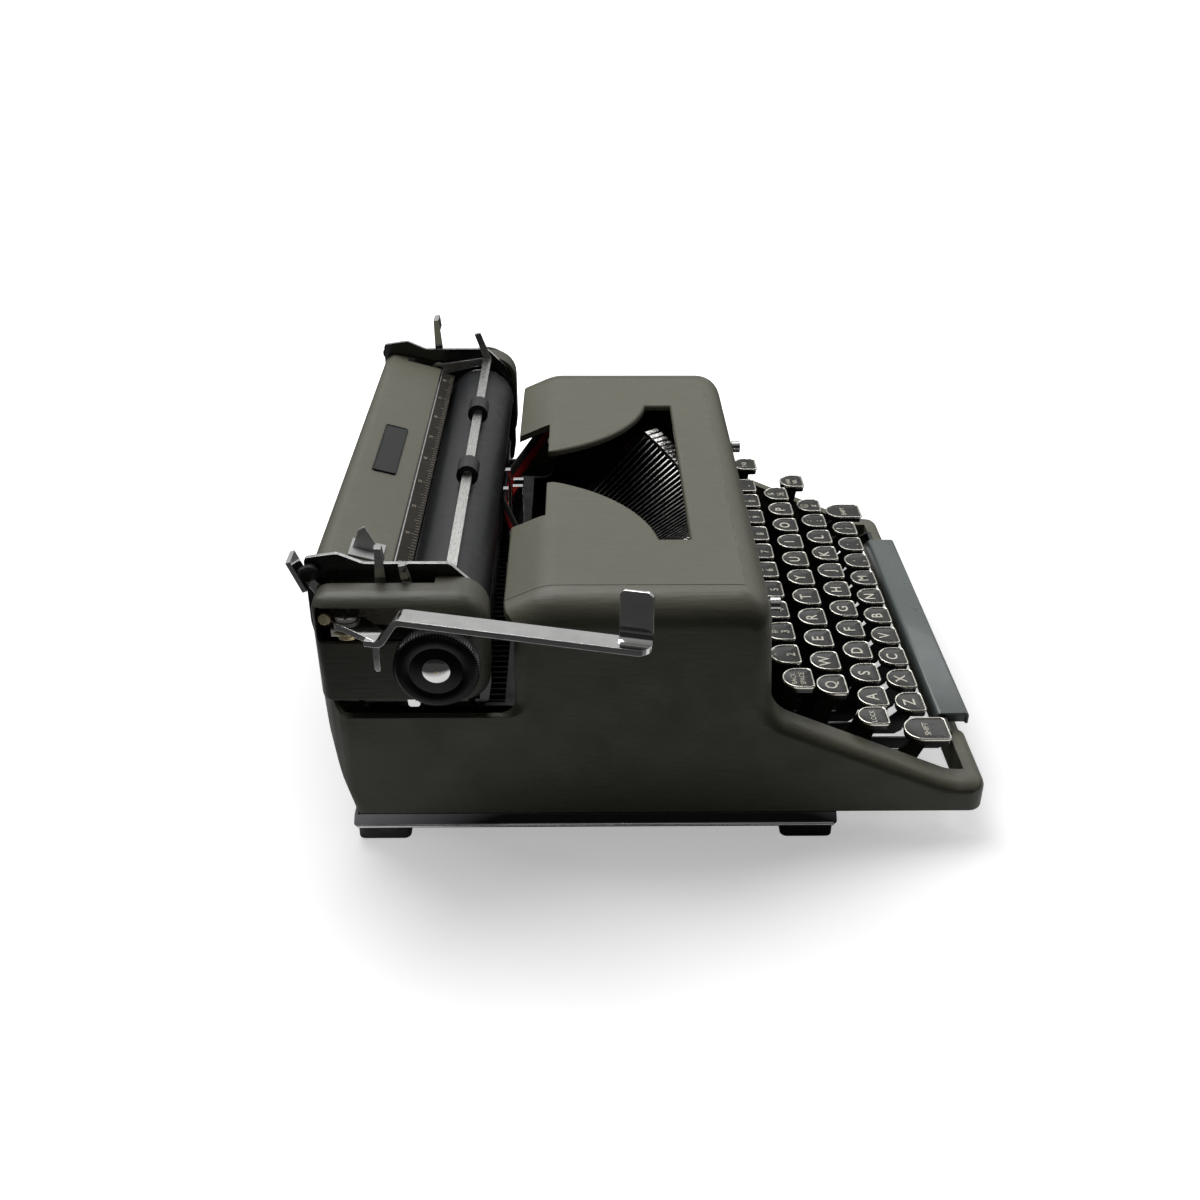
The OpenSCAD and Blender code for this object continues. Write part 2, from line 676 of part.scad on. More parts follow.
module keys_row_4() color("#4a4a46") keys_row(4);

// Shift keys stand out before the front row, and the lock turns on a stud on the left one
shift_key_y = row_front_y - 3;
lock_pivot_y = -20;
module shift_left() color("#4a4a46") {
  key(-shift_x, shift_key_y, row_front_z, shift_w, shift_d, -shift_x);
  pin_x(lock_lever_x - 1, -shift_x, lock_pivot_y, shaft_z, stud_r);
}
module shift_right() color("#4a4a46")
  key(shift_x + 1, shift_key_y, row_front_z, shift_w, shift_d, shift_right_lever_x);
module shift_lock() color("#4a4a46") {
  y = row_y(3) + 2.5;
  z = row_z(3);
  x = lock_lever_x;
  lo = shaft_z - lever_h / 2;
  hi = shaft_z + lever_h / 2;
  translate([x - 1.1, y, z - key_t]) key_top(key_w - 2, key_d);
  along_x(x - lever_t / 2, x + lever_t / 2) difference() {
    union() {
      polygon([[lock_pivot_y, lo], [lock_pivot_y, hi], [y + stem_lean, hi], [y + 3, z - key_t],
        [y - 3, z - key_t], [y + 3, lo]]);
      translate([lock_pivot_y, shaft_z]) circle(r = stud_r + 2.2);
    }
    translate([lock_pivot_y, shaft_z]) circle(r = stud_r + run_fit);
  }
}
module backspace_key() color("#4a4a46")
  key(backspace_lever_x - 6, row_y(1) - 3, row_z(1), key_w - 0.4, key_d, backspace_lever_x);
module tab_key() color("#4a4a46")
  key(tab_lever_x + 1, row_y(1) - 3, row_z(1) + 1.5, key_w - 0.4, key_d, tab_lever_x);
module margin_release_key() color("#4a4a46")
  key(release_lever_x + 2.8, row_y(2) - 10.5, row_z(2) + 1.5, key_w, key_d, release_lever_x);

// The space bar is a trough, and links inside its open ends join it to two arms on the lever shaft
space_front_y = front_y - 1.5;
space_t = 1.6;
space_roof = space_z - 1.8;
space_link = [6, 2.2, 3.9];
module space_trough() along_x(-space_l / 2, space_l / 2) difference() {
  polygon(rounded([[space_front_y, space_z - space_skirt, 0.8], [space_front_y + space_d, space_z - space_skirt, 0.8],
    [space_front_y + space_d, space_z, 2], [space_front_y, space_z, 2]]));
  polygon(rounded(block(space_front_y + space_t, space_z - space_skirt - past,
    space_front_y + space_d - space_t, space_roof, 0)));
}
module space_arm() {
  rear = space_front_y + space_d - space_t - 0.4;
  front = rear - space_link[1];
  foot = space_roof - space_link[2];
  along_x(space_arm_x - lever_t / 2, space_arm_x + lever_t / 2) difference() {
    union() {
      polygon([[shaft_y, shaft_z - lever_h / 2], [shaft_y, shaft_z + lever_h / 2], [rear + 5, shaft_z + lever_h / 2],
        [rear, space_roof], [front, space_roof], [front, foot], [rear + 3, shaft_z - lever_h / 2]]);
      translate([shaft_y, shaft_z]) circle(r = hub_r);
    }
    translate([shaft_y, shaft_z]) circle(r = lever_bore);
  }
  box([space_l / 2 - space_link[0], front, foot], [space_arm_x, rear, space_roof]);
}
module space_bar() color("#6c7574") {
  space_trough();
  both_sides() space_arm();
}

// Type basket: drawn in its own frame, with its axis up and the typist's side at -Y
module in_basket() translate([0, basket_y, basket_z]) rotate([basket_tilt, 0, 0]) children();
function bar_angle(i) = (i - bar_count / 2) * bar_step;
// A point [out, up] at a distance along a resting bar and a distance under it
function bar_point(s, d) =
  [pivot_r + s * sin(rest_lean) + d * cos(rest_lean), s * cos(rest_lean) - d * sin(rest_lean)];
module sector(pts, half) rotate([0, 0, -90 - half]) rotate_extrude(angle = 2 * half, $fn = 96) polygon(pts);

segment_pts = [[pivot_r - 7, -8], [pivot_r + 6, -8], [pivot_r + 6, 2.4], [pivot_r - 7, 2.4]];
bowl_pts = [bar_point(4, 5), bar_point(58, 5), bar_point(58, 7), bar_point(4, 7.2)];
hub_bar_r = 2.6;
bar_pin_r = 1;
bar_pin_half = bar_slot / 2 + 0.4;
module type_segment() color("#1f1f1f") {
  in_basket() difference() {
    union() {
      sector(segment_pts, segment_half_angle);
      sector(bowl_pts, segment_half_angle - 2);
    }
    for (i = [0:bar_count - 1]) rotate([0, 0, bar_angle(i)])
      box([-bar_slot / 2, -pivot_r - 12, -hub_bar_r - 0.6], [bar_slot / 2, -pivot_r + 8, 12]);
    pin_x(-bar_pin_half, bar_pin_half, -pivot_r, 0, bar_pin_r);
  }
  in_basket() pin_x(-bar_pin_half, bar_pin_half, -pivot_r, 0, bar_pin_r);
  both_sides() difference() {
    union() {
      box([49, frame_guide_y - 5, 67], [frame_guide_x, frame_guide_y + 10, 72]);
      translate([frame_guide_x, frame_guide_y, 64]) cylinder(r = frame_guide_r + 3, h = 11);
    }
    translate([frame_guide_x, frame_guide_y, 60]) cylinder(r = frame_guide_r + run_fit, h = 20);
  }
}
rest_pts = [bar_point(46, 2.2), bar_point(54, 2.2), bar_point(54, 5), bar_point(46, 5)];
module typebar_rest() color("#7a2f2a") in_basket() sector(rest_pts, segment_half_angle - 3);

// One bar at rest, with its type slug lying face up
function bar_side(s, d) = let (p = bar_point(s, d)) [-p[0], p[1]];
module typebar() {
  along_x(-bar_t / 2, bar_t / 2)
    polygon([bar_side(-1.6, -bar_w / 2), bar_side(-1.6, bar_w / 2), bar_side(30, 1.5), bar_side(bar_l - 3.6, 1.3),
      bar_side(bar_l - 1.6, -0.4), bar_side(bar_l - 5, -1.6), bar_side(30, -1.5)]);
  tip = bar_point(bar_l, 0);
  translate([0, -tip[0], tip[1]]) rotate([slug_turn, 0, 0])
    box([-slug_w / 2, -slug_l / 2, -slug_t], [slug_w / 2, slug_l / 2, 0]);
}
module typebars() color("#9a9a94") in_basket()
  for (i = [0:bar_count - 1])
    if (i != bar_count / 2) rotate([0, 0, bar_angle(i)]) typebar();
module typebar_h() color("#9a9a94") in_basket() difference() {
  union() {
    typebar();
    pin_x(-bar_t / 2, bar_t / 2, -pivot_r, 0, hub_bar_r);
  }
  pin_x(-bar_t, bar_t, -pivot_r, 0, bar_pin_r + run_fit);
}

// Guide posts at the print point, and the vibrator that lifts the ribbon
guide_lug = [6, 5, 6];
vibrator_y = guide_bar_y + guide_bar_d + 1.6;
vibrator_t = 1;
module type_guide() color("silver") {
  both_sides() box([2.4, guide_bar_y + 1, frame_top], [5, guide_bar_y + guide_bar_d, print_z + 4]);
  difference() {
    union() {
      box([-guide_lug[0], guide_bar_y + guide_bar_d, frame_top - guide_lug[2]],
        [guide_lug[0], guide_bar_y + guide_bar_d + guide_lug[1], frame_top + 3]);
      box([-guide_lug[0] - 4, guide_bar_y + 1, frame_top],
        [guide_lug[0] + 4, guide_bar_y + guide_bar_d + 0.5, frame_top + 3]);
    }
    box([-3.4, vibrator_y - 0.35, frame_top - guide_lug[2] - past],
      [3.4, vibrator_y + vibrator_t + 0.35, frame_top + 2 * wall]);
  }
}
module ribbon_vibrator() color("silver") {
  box([-3, vibrator_y, 48], [3, vibrator_y + vibrator_t, 82]);
  box([-12, vibrator_y, 80], [12, vibrator_y + vibrator_t, 86]);
  both_sides() {
    box([9, vibrator_y, 84], [12, vibrator_y + vibrator_t, ribbon_z + ribbon_w + 3]);
    box([9, vibrator_y, ribbon_z + ribbon_w + 1.6], [12, vibrator_y + 2.5, ribbon_z + ribbon_w + 3]);
  }
}
ribbon_t = 0.25;
ribbon_mid = 14;
ribbon_print_y = print_y + 0.4;
ribbon_side_y = spool_y + spool_r - 0.7;
function ribbon_edge(d) = [[-spool_x, ribbon_side_y + d], [-ribbon_mid, ribbon_print_y + d],
  [ribbon_mid, ribbon_print_y + d], [spool_x, ribbon_side_y + d]];
function reversed(pts) = [for (i = [len(pts) - 1:-1:0]) pts[i]];
module ribbon() color("#1a1a1a") translate([0, 0, ribbon_z]) linear_extrude(ribbon_w)
  polygon(concat(ribbon_edge(0), reversed(ribbon_edge(ribbon_t))));
module spool(side) translate([side * spool_x, spool_y, 0]) rotate_extrude()
  polygon([[spool_post_r + run_fit, spool_z], [spool_r, spool_z], [spool_r, spool_z + 1.4],
    [spool_r - 1, spool_z + 1.4], [spool_r - 1, spool_z + spool_h - 1.4], [spool_r, spool_z + spool_h - 1.4],
    [spool_r, spool_z + spool_h], [6, spool_z + spool_h], [6, spool_z + spool_h - 1],
    [spool_post_r + run_fit, spool_z + spool_h - 1]]);
module ribbon_spool_left() color("#333333") spool(-1);
module ribbon_spool_right() color("#333333") spool(1);
module ribbon_cups() color("#252525") both_sides() translate([spool_x, spool_y, 0]) rotate_extrude()
  polygon([[0, cup_z], [spool_r + 2.4, cup_z], [spool_r + 2.4, cup_z + 4], [spool_r + 1, cup_z + 4],
    [spool_r + 1, cup_z + cup_t], [spool_post_r, cup_z + cup_t], [spool_post_r, spool_z + spool_h - 3], [0, spool_z + spool_h - 3]]);

// Small levers through slots in the hood's front face
module face_lever(side) {
  x = side * selector_x;
  along_x(x - 0.8, x + 0.8) difference() {
    union() {
      polygon(rounded(block(hood_crown_y - 7, selector_z - 2, selector_pivot_y, selector_z + 2, 0)));
      translate([selector_pivot_y, selector_z]) circle(r = 3.4);
      translate([hood_crown_y - 7, selector_z]) circle(r = 2);
    }
    translate([selector_pivot_y, selector_z]) circle(r = selector_pin_r + run_fit);
  }
  translate([x, hood_crown_y - 5, selector_z]) rotate([90, 0, 0]) cylinder(r = 3.2, h = 4.4);
}
module colour_selector() color("silver") face_lever(-1);
module touch_lever() color("silver") face_lever(1);

// Carriage: two end plates joined by beams that wrap the heads of the rails
plate_outline = [
  [72, carriage_bottom + 0.5, 2], [rack_y + 1, carriage_bottom + 0.5, 2], [rack_y + 5, end_bottom, 3],
  [142, 110, 6], [142, 139, 2], [129, 141, 4], [119, 136.5, 5], [85, 136.5, 4], [75.5, 127, 4], [70.5, 115, 6],
  [70.5, 80, 3]];
module way_slot(y) translate([y, 0]) {
  polygon(rounded(block(-way_head[0] / 2 - slide_gap, way_neck_z - slide_gap,
    way_head[0] / 2 + slide_gap, way_neck_z + way_head[1] + slide_gap, 0)));
  polygon(rounded(block(-way_web / 2 - slide_gap, carriage_bottom - past, way_web / 2 + slide_gap, way_neck_z, 0)));
}
module end_plate() along_x(carriage_half, plate_out) difference() {
  polygon(rounded(plate_outline));
  way_slot(way_front_y);
  way_slot(way_rear_y);
  translate([platen_y, platen_z]) circle(r = platen_shaft_r + run_fit);
  for (y = [feed_front_y, feed_rear_y]) translate([y, feed_z]) circle(r = feed_shaft_r + run_fit);
}
module way_beam(y) along_x(-carriage_half - plate_t / 2, carriage_half + plate_t / 2) difference() {
  polygon(rounded(block(y - beam_d / 2, carriage_bottom, y + beam_d / 2, carriage_bottom + carriage_beam_h, 1)));
  way_slot(y);
}
module plate_stud(side, place) {
  x = side * (plate_out - plate_t / 2);
  w = end_lever_x + end_lever_t + 1 - plate_out + plate_t / 2;
  pin_x(side > 0 ? x : x - w, side > 0 ? x + w : x, place[0], place[1], stud_r);
}
module carriage_frame() color("#1c1c1c") {
  both_sides() end_plate();
  way_beam(way_front_y);
  way_beam(way_rear_y);
  both_sides() pin_x(bail_arm_x - 0.4, carriage_half + plate_t / 2, bail_pivot_y, bail_pivot_z, bail_stud_r);
  plate_stud(-1, set_lever_pivot);
  plate_stud(-1, selector_lever_pivot);
  plate_stud(-1, release_pivot);
  plate_stud(1, paper_release_pivot);
}

// Painted caps over the carriage ends
end_outline = [[end_front_y, end_bottom, 8], [end_rear_y - 1.5, end_bottom, 3], [end_rear_y, end_top, 7],
  [end_front_y, end_top, 13]];
end_section = [[plate_out, end_bottom - past, 0], [end_x, end_bottom - past, 0], [end_x, end_top, 9],
  [plate_out, end_top, 0]];
module end_form(d) intersection() {
  along_x(plate_out - 2 * d, end_x) polygon(rounded(inset(end_outline, d + 0.001)));
  translate([0, 2 * end_rear_y, 0]) rotate([90, 0, 0]) linear_extrude(3 * end_rear_y)
    polygon(rounded([for (p = end_section) [p[0] - (p[0] > plate_out ? d : 2 * d), p[1] - d, max(0, p[2] - d)]]));
}
module end_cover() difference() {
  end_form(0);
  end_form(end_wall);
  pin_x(plate_out - past, end_x + past, platen_y, platen_z, platen_shaft_r + 2.5);
  box([plate_out - past, platen_y + 2, platen_z + 2], [plate_out + 5.6, end_rear_y + past, end_top + past]);
}
window = [[98, 136], [112, 127]];
module end_cover_left() color("#4d4d46") mirror([1, 0, 0]) difference() {
  end_cover();
  box([-lever_pivot_x - 8.5, window[0][0], window[1][0]], [end_x + past, window[0][1], window[1][1]]);
}
module end_cover_right() color("#4d4d46") end_cover();

// Paper table with its folded rear edge, the scale before it and the guide on it
table_pts = concat([[table_front_y, table_front_z], [table_rear_y, table_rear_z], [table_rear_y + 1.2, table_rear_z - 15]],
  [[table_rear_y + 1.2 - table_t, table_rear_z - 15], [table_rear_y - table_t, table_rear_z - 2.4],
   [table_front_y + 0.4, table_front_z - table_t]]);
module paper_table() color("#5a594f") {
  along_x(-table_half, table_half) polygon(reversed(table_pts));
  intersection() {
    along_x(-carriage_half, carriage_half) polygon(reversed(table_pts));
    box([-carriage_half, table_front_y + 18, 0], [carriage_half, table_rear_y + 5, table_rear_z + past]);
  }
}
module on_table(along) translate([0, table_front_y, table_front_z]) rotate([table_angle, 0, 0])
  translate([0, along, 0]) children();
plate_l = 58;
plate_d = 16;
module name_plate() color("#33332f") on_table(8) linear_extrude(0.8)
  polygon(rounded(block(-plate_l / 2, 0, plate_l / 2, plate_d, 1.5)));
scale_half = carriage_half - 9;
module paper_scale() color("#2a2824") along_x(-scale_half, scale_half)
  polygon([[table_front_y - 7.5, table_front_z - 3.6], [table_front_y, table_front_z - 1.4],
    [table_front_y, table_front_z - 0.2], [table_front_y - 7.8, table_front_z - 2.6]]);
module paper_guide() color("silver") on_table(4) translate([16 - table_half, 0, 0]) {
  box([-7, 0, 0], [7, 14, 0.8]);
  along_x(-0.5, 0.5) polygon([[1, 0.8], [13, 0.8], [12, 9], [10, 11]]);
}

// Toothed rack at the carriage's back, with two margin stops that slide on it
rack_tooth = 2.54;
module margin_rack() color("silver") {
  box([-carriage_half, rack_y, rack_z], [carriage_half, rack_y + rack_size[0], rack_z + rack_size[1]]);
  for (i = [-40:40])
    box([i * rack_tooth - 0.6, rack_y + 0.6, rack_z + rack_size[1] - 0.2],
      [i * rack_tooth + 0.6, rack_y + rack_size[0] - 0.6, rack_z + rack_size[1] + 0.8]);
}
module margin_stop(x) difference() {
  union() {
    box([x - 6, rack_y - 2.2, rack_z - 2.2], [x + 6, rack_y + rack_size[0] + 2.2, rack_z + rack_size[1] + 3.2]);
    box([x - 3, rack_y + rack_size[0] + 0.6, rack_z + rack_size[1]],
      [x + 3, rack_y + rack_size[0] + 2.2, rack_z + rack_size[1] + 13]);
  }
  box([x - 7, rack_y - 0.35, rack_z - 0.35], [x + 7, rack_y + rack_size[0] + 0.35, rack_z + rack_size[1] + 1.2]);
}
module margin_stop_left() color("silver") margin_stop(-stop_x);
module margin_stop_right() color("silver") margin_stop(stop_x);

// Platen: rubber on a core, with a knob at each end and a ratchet inside the left cover
module turned_x(pts) rotate([0, 90, 0]) rotate_extrude() polygon(pts);
module on_platen() translate([0, platen_y, platen_z]) children();
core_r = platen_r - 3.5;
core_pts = [[0, -knob_x + 3], [platen_shaft_r, -knob_x + 3], [platen_shaft_r, -platen_l / 2 + 1],
  [core_r, -platen_l / 2 + 1], [core_r, platen_l / 2 - 1], [platen_shaft_r, platen_l / 2 - 1],
  [platen_shaft_r, knob_x - 3], [0, knob_x - 3]];
module platen_rubber() color("#2c2e2f") on_platen() rotate([0, 90, 0]) difference() {
  translate([0, 0, -platen_l / 2]) cylinder(r = platen_r, h = platen_l);
  translate([0, 0, -platen_l]) cylinder(r = core_r, h = 2 * platen_l);
}
module platen_core() color("#8a7350") on_platen() turned_x(core_pts);
knurls = 60;
function star(r, depth, n) = [for (i = [0:2 * n - 1]) (r - (i % 2) * depth) * [cos(i * 180 / n), sin(i * 180 / n)]];
knob_back = end_x + 1.2;
groove_r = 9.8;
dome_r = 5.4;
module knob() on_platen() rotate([0, 90, 0]) difference() {
  union() {
    translate([0, 0, knob_x - knob_rim]) linear_extrude(knob_rim - 0.8) polygon(star(knob_r, 0.5, knurls));
    translate([0, 0, knob_x - 1]) cylinder(r = knob_r - 1.2, h = 1);
    translate([0, 0, knob_back]) cylinder(r1 = 8, r2 = 13, h = knob_x - knob_rim - knob_back + 0.5);
  }
  difference() {
    translate([0, 0, knob_x - 2.4]) cylinder(r = groove_r, h = 5);
    translate([0, 0, knob_x - 3]) cylinder(r1 = dome_r, r2 = dome_r - 1.6, h = 2.6);
  }
  translate([0, 0, 0]) cylinder(r = platen_shaft_r, h = knob_x - 3);
}
module platen_knob_left() color("#26262a") mirror([1, 0, 0]) knob();
module platen_knob_right() color("#26262a") knob();
ratchet_teeth = 32;
module platen_ratchet() color("silver") on_platen() translate([-plate_out - 8.5, 0, 0]) rotate([0, 90, 0])
  linear_extrude(2.5) difference() {
    polygon(star(13, 1.6, ratchet_teeth));
    circle(r = platen_shaft_r);
  }
module feed_roller(y) translate([0, y, feed_z]) turned_x([[0, -plate_out + 0.2], [feed_shaft_r, -plate_out + 0.2],
  [feed_shaft_r, -platen_l / 2 + 12], [feed_r, -platen_l / 2 + 12], [feed_r, platen_l / 2 - 12],
  [feed_shaft_r, platen_l / 2 - 12], [feed_shaft_r, plate_out - 0.2], [0, plate_out - 0.2]]);
module feed_roller_front() color("#303030") feed_roller(feed_front_y);
module feed_roller_rear() color("#303030") feed_roller(feed_rear_y);

// Paper bail: a flat bar on two arms, with two rollers that rest on the platen
bail_bar = [4.4, 1.6];
bail_roller_l = 12;
bail_roller_x = [-25, 47];
module bail_arm() along_x(bail_arm_x, bail_arm_x + bail_arm_t) difference() {
  union() {
    polygon([[bail_y - 2.6, bail_z - 1.6], [bail_pivot_y, bail_pivot_z - 3], [bail_pivot_y, bail_pivot_z + 3],
      [bail_y - 2.2, bail_z + 2]]);
    translate([bail_pivot_y, bail_pivot_z]) circle(r = bail_stud_r + 2);
  }
  translate([bail_pivot_y, bail_pivot_z]) circle(r = bail_stud_r + run_fit);
}
module paper_bail() color("silver") {
  both_sides() bail_arm();
  box([-bail_arm_x - 1, bail_y - bail_bar[0] / 2, bail_z - bail_bar[1] / 2],
    [bail_arm_x + 1, bail_y + bail_bar[0] / 2, bail_z + bail_bar[1] / 2]);
  along_x(bail_arm_x, bail_arm_x + bail_arm_t) polygon([[bail_y - 2.6, bail_z], [bail_y + 1.4, bail_z],
    [bail_y + 6.4, bail_z + 15], [bail_y + 3.2, bail_z + 15.6]]);
}
module bail_rollers() color("#1d1d1d") for (x = bail_roller_x) difference() {
  pin_x(x - bail_roller_l / 2, x + bail_roller_l / 2, bail_y, bail_z, bail_roller_r);
  pin_x(x - bail_roller_l, x + bail_roller_l, bail_y, bail_z, norm(bail_bar) / 2 + 0.1);
}

// Carriage return lever: a flat root in the end cover's window, a double bend and a long arm
bend_y = 110;
bend_run = 7;
arm_out = 9.7;
lever_arm_offset = -end_x - arm_out;
arm_lean = atan((lever_arm_offset - thumb_x) / (bend_y - thumb_y));
lever_rise = lever_arm_z - lever_root_z;
bend_shift = lever_plate * tan(atan(lever_rise / bend_run) / 2);
thumb_bend = 6;
module lever_frame() translate([lever_arm_offset, bend_y, 0]) rotate([0, 0, -arm_lean]) children();
arm_run = (bend_y - thumb_y) / cos(arm_lean);
arm_top = lever_arm_z + lever_plate;
// What a cutter takes off a square corner whose outer side lies along the signs in [out]
function corner_cut(p, out, r) =
  let (k = r - 0.2)
  [p + past * out, p + [-out[0] * k, out[1] * past],
    each arc(p - k * out, r, 90 * out[1], out[0] > 0 ? 0 : 180 * out[1], arc_steps), p + [out[0] * past, -out[1] * k]];
// The thumb piece: the arm's end turns up along its inner edge into a plate that faces the typist's left
module thumb_piece() difference() {
  back = thumb_w - arm_run;
  face = lever_w / 2 + 1;
  translate([0, back, 0]) rotate([90, 0, 0]) linear_extrude(thumb_w)
    polygon(rounded([[-lever_w / 2, lever_arm_z, 0], [face, lever_arm_z, thumb_bend],
      [face - 1.5, thumb_top, 0.6], [face - 1.5 - 0.7 * lever_plate, thumb_top, 0.6],
      [face - lever_plate, arm_top, thumb_bend - lever_plate], [-lever_w / 2, arm_top, 0]]));
  along_x(-lever_w, lever_w) polygon(corner_cut([-arm_run, thumb_top], [-1, 1], 4));
  along_x(-lever_w, lever_w) polygon(corner_cut([back, thumb_top], [1, 1], 3));
  translate([0, 0, lever_arm_z - past]) linear_extrude(lever_plate + 2 * past)
    polygon(corner_cut([-lever_w / 2, -arm_run], [-1, -1], thumb_bend));
}
// The root is pressed a little thicker than the arm
root_extra = 0.1;
module return_lever() color("silver") difference() {
  union() {
    translate([0, 0, lever_root_z - root_extra]) linear_extrude(lever_plate + 2 * root_extra) {
      polygon([[lever_pivot_x - 5, lever_pivot_y + 3], [lever_arm_offset - lever_w / 2, bend_y],
        [lever_arm_offset + lever_w / 2, bend_y - 1], [lever_pivot_x + 5, lever_pivot_y - 3]]);
      translate([lever_pivot_x, lever_pivot_y]) circle(r = 6.2);
    }
    lever_frame() along_x(-lever_w / 2, lever_w / 2)
      polygon(rounded([[4.5, lever_root_z, 0], [4.5, lever_root_z + lever_plate, 0], [-1, lever_root_z + lever_plate, 3],
        [-bend_run - 1, arm_top, 5], [thumb_w - arm_run - past, arm_top, 0], [thumb_w - arm_run - past, lever_arm_z, 0],
        [-bend_run - 1 - bend_shift, lever_arm_z, 3], [-1 - bend_shift, lever_root_z, 5]]));
    lever_frame() thumb_piece();
  }
  translate([lever_pivot_x, lever_pivot_y, lever_root_z - past])
    cylinder(r = stud_r + 1.5 + run_fit, h = lever_plate + 2 * past);
}
// The pivot screw stands on a bracket from the end plate
module return_lever_screw() color("silver") {
  translate([lever_pivot_x, lever_pivot_y, lever_root_z - 5]) cylinder(r = stud_r + 1.5, h = 5 + lever_plate + 1);
  difference() {
    translate([lever_pivot_x, lever_pivot_y, lever_root_z + lever_plate + 0.4]) cylinder(r = 4.9, h = 1.6);
    box([lever_pivot_x - 5, lever_pivot_y - 0.5, lever_root_z + lever_plate + 1.3],
      [lever_pivot_x + 5, lever_pivot_y + 0.5, lever_root_z + lever_plate + 5]);
  }
  box([lever_pivot_x - 4.6, lever_pivot_y - 7, lever_root_z - 3.2],
    [-plate_out, lever_pivot_y + 6, lever_root_z - 0.4]);
}

// Finger levers at the carriage ends turn on studs in the end plates, with their tips given from the stud
module end_lever(side, place, tips, tab) {
  pts = [for (p = tips) place + p];
  x = side > 0 ? end_lever_x : -end_lever_x - end_lever_t;
  along_x(x, x + end_lever_t) difference() {
    union() {
      polygon(concat([[place[0] + 3, place[1]], [place[0] - 3, place[1]]], pts));
      translate(place) circle(r = 3.4);
    }
    translate(place) circle(r = stud_r + run_fit);
  }
  along_x(side > 0 ? x : x - tab + end_lever_t, side > 0 ? x + tab : x + end_lever_t)
    polygon([pts[0], pts[0] - [0.6, 5] * 1.2, pts[1] - [0.6, 5] * 1.2, pts[1]]);
}
module margin_set_lever() color("silver")
  end_lever(-1, set_lever_pivot, [[-1.4, 33.8], [1.4, 34]], 3.6);
module line_space_selector() color("silver")
  end_lever(-1, selector_lever_pivot, [[2.6, 21.6], [5.4, 21.2]], 3.6);
module paper_release_lever() color("silver")
  end_lever(1, paper_release_pivot, [[0.4, 38], [3.2, 37.6]], 9);
module carriage_release() color("silver") {
  x = -end_lever_x - end_lever_t;
  along_x(x, x + end_lever_t) translate(release_pivot) difference() {
    union() {
      polygon([[-3, 0], [3, -1], [9, 9], [7, 10.6], [5.5, 10]]);
      circle(r = 3.4);
    }
    circle(r = stud_r + run_fit);
  }
  along_x(x - 8, x + end_lever_t) translate(release_pivot)
    polygon([[6.4, 8.6], [8.2, 8], [13.4, 21], [11.6, 21.6]]);
}

// Mainspring drum on its post, and the bell beside it
module drum_turn(place) translate([place[0], place[1], 0]) rotate_extrude() children();
drum_z = shelf_z + shelf_t + 0.3;
module mainspring_drum() color("#777777") drum_turn(drum_place)
  polygon([[3 + run_fit, drum_z], [15, drum_z], [15, drum_z + 2], [14, drum_z + 2], [14, drum_z + 11],
    [15, drum_z + 11], [15, drum_z + 13], [3 + run_fit, drum_z + 13]]);
module bell() color("#b9a76a") drum_turn(bell_place)
  polygon(concat([[3, drum_z + 12.5], [3, drum_z + 11]], [for (a = [80:-10:0]) [2.6 + 12 * cos(a), drum_z + 11 * sin(a)]],
    [for (a = [0:10:80]) [4 + 12 * cos(a), drum_z + 12.5 * sin(a)]]));

body_shell();
base_frame();
side_rails();
rubber_feet();
lever_shaft();
lever_comb();
carriage_rails();
top_cover();
hinge_pins();
type_segment();
typebar_rest();
typebars();
typebar_h();
type_guide();
ribbon_vibrator();
ribbon();
ribbon_spool_left();
ribbon_spool_right();
ribbon_cups();
key_h();
keys_row_1();
keys_row_2();
keys_row_3();
keys_row_4();
space_bar();
shift_left();
shift_right();
shift_lock();
backspace_key();
tab_key();
margin_release_key();
colour_selector();
touch_lever();
carriage_frame();
end_cover_left();
end_cover_right();
paper_table();
name_plate();
paper_scale();
paper_guide();
margin_rack();
margin_stop_left();
margin_stop_right();
platen_rubber();
platen_core();
platen_knob_left();
platen_knob_right();
platen_ratchet();
feed_roller_front();
feed_roller_rear();
paper_bail();
bail_rollers();
return_lever();
return_lever_screw();
carriage_release();
margin_set_lever();
paper_release_lever();
line_space_selector();
mainspring_drum();
bell();
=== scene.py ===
import math

import bmesh
import bpy
from mathutils import Matrix, Vector


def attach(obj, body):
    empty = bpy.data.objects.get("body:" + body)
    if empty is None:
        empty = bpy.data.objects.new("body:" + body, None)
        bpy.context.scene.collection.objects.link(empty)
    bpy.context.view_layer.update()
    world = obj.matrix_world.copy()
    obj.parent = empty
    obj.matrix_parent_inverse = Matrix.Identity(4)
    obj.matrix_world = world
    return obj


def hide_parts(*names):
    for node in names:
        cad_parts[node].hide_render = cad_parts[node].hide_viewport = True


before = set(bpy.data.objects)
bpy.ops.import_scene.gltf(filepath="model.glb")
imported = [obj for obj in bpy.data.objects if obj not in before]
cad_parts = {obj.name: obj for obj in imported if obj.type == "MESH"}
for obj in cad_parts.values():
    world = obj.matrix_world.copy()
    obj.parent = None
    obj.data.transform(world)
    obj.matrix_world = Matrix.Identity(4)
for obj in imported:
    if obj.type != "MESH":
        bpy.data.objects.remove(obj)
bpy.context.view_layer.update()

MM = 0.001
scene = bpy.context.scene
scene.view_settings.view_transform = "Standard"

# Camera at the photograph's viewing angle, in degrees and metres
PITCH, YAW, ROLL = 30.794, -0.9115, 0.3086
CAMERA_PLACE = (-0.5709, 0.0326, 0.3866)
LENS = 39.0
SENSOR = 36.0


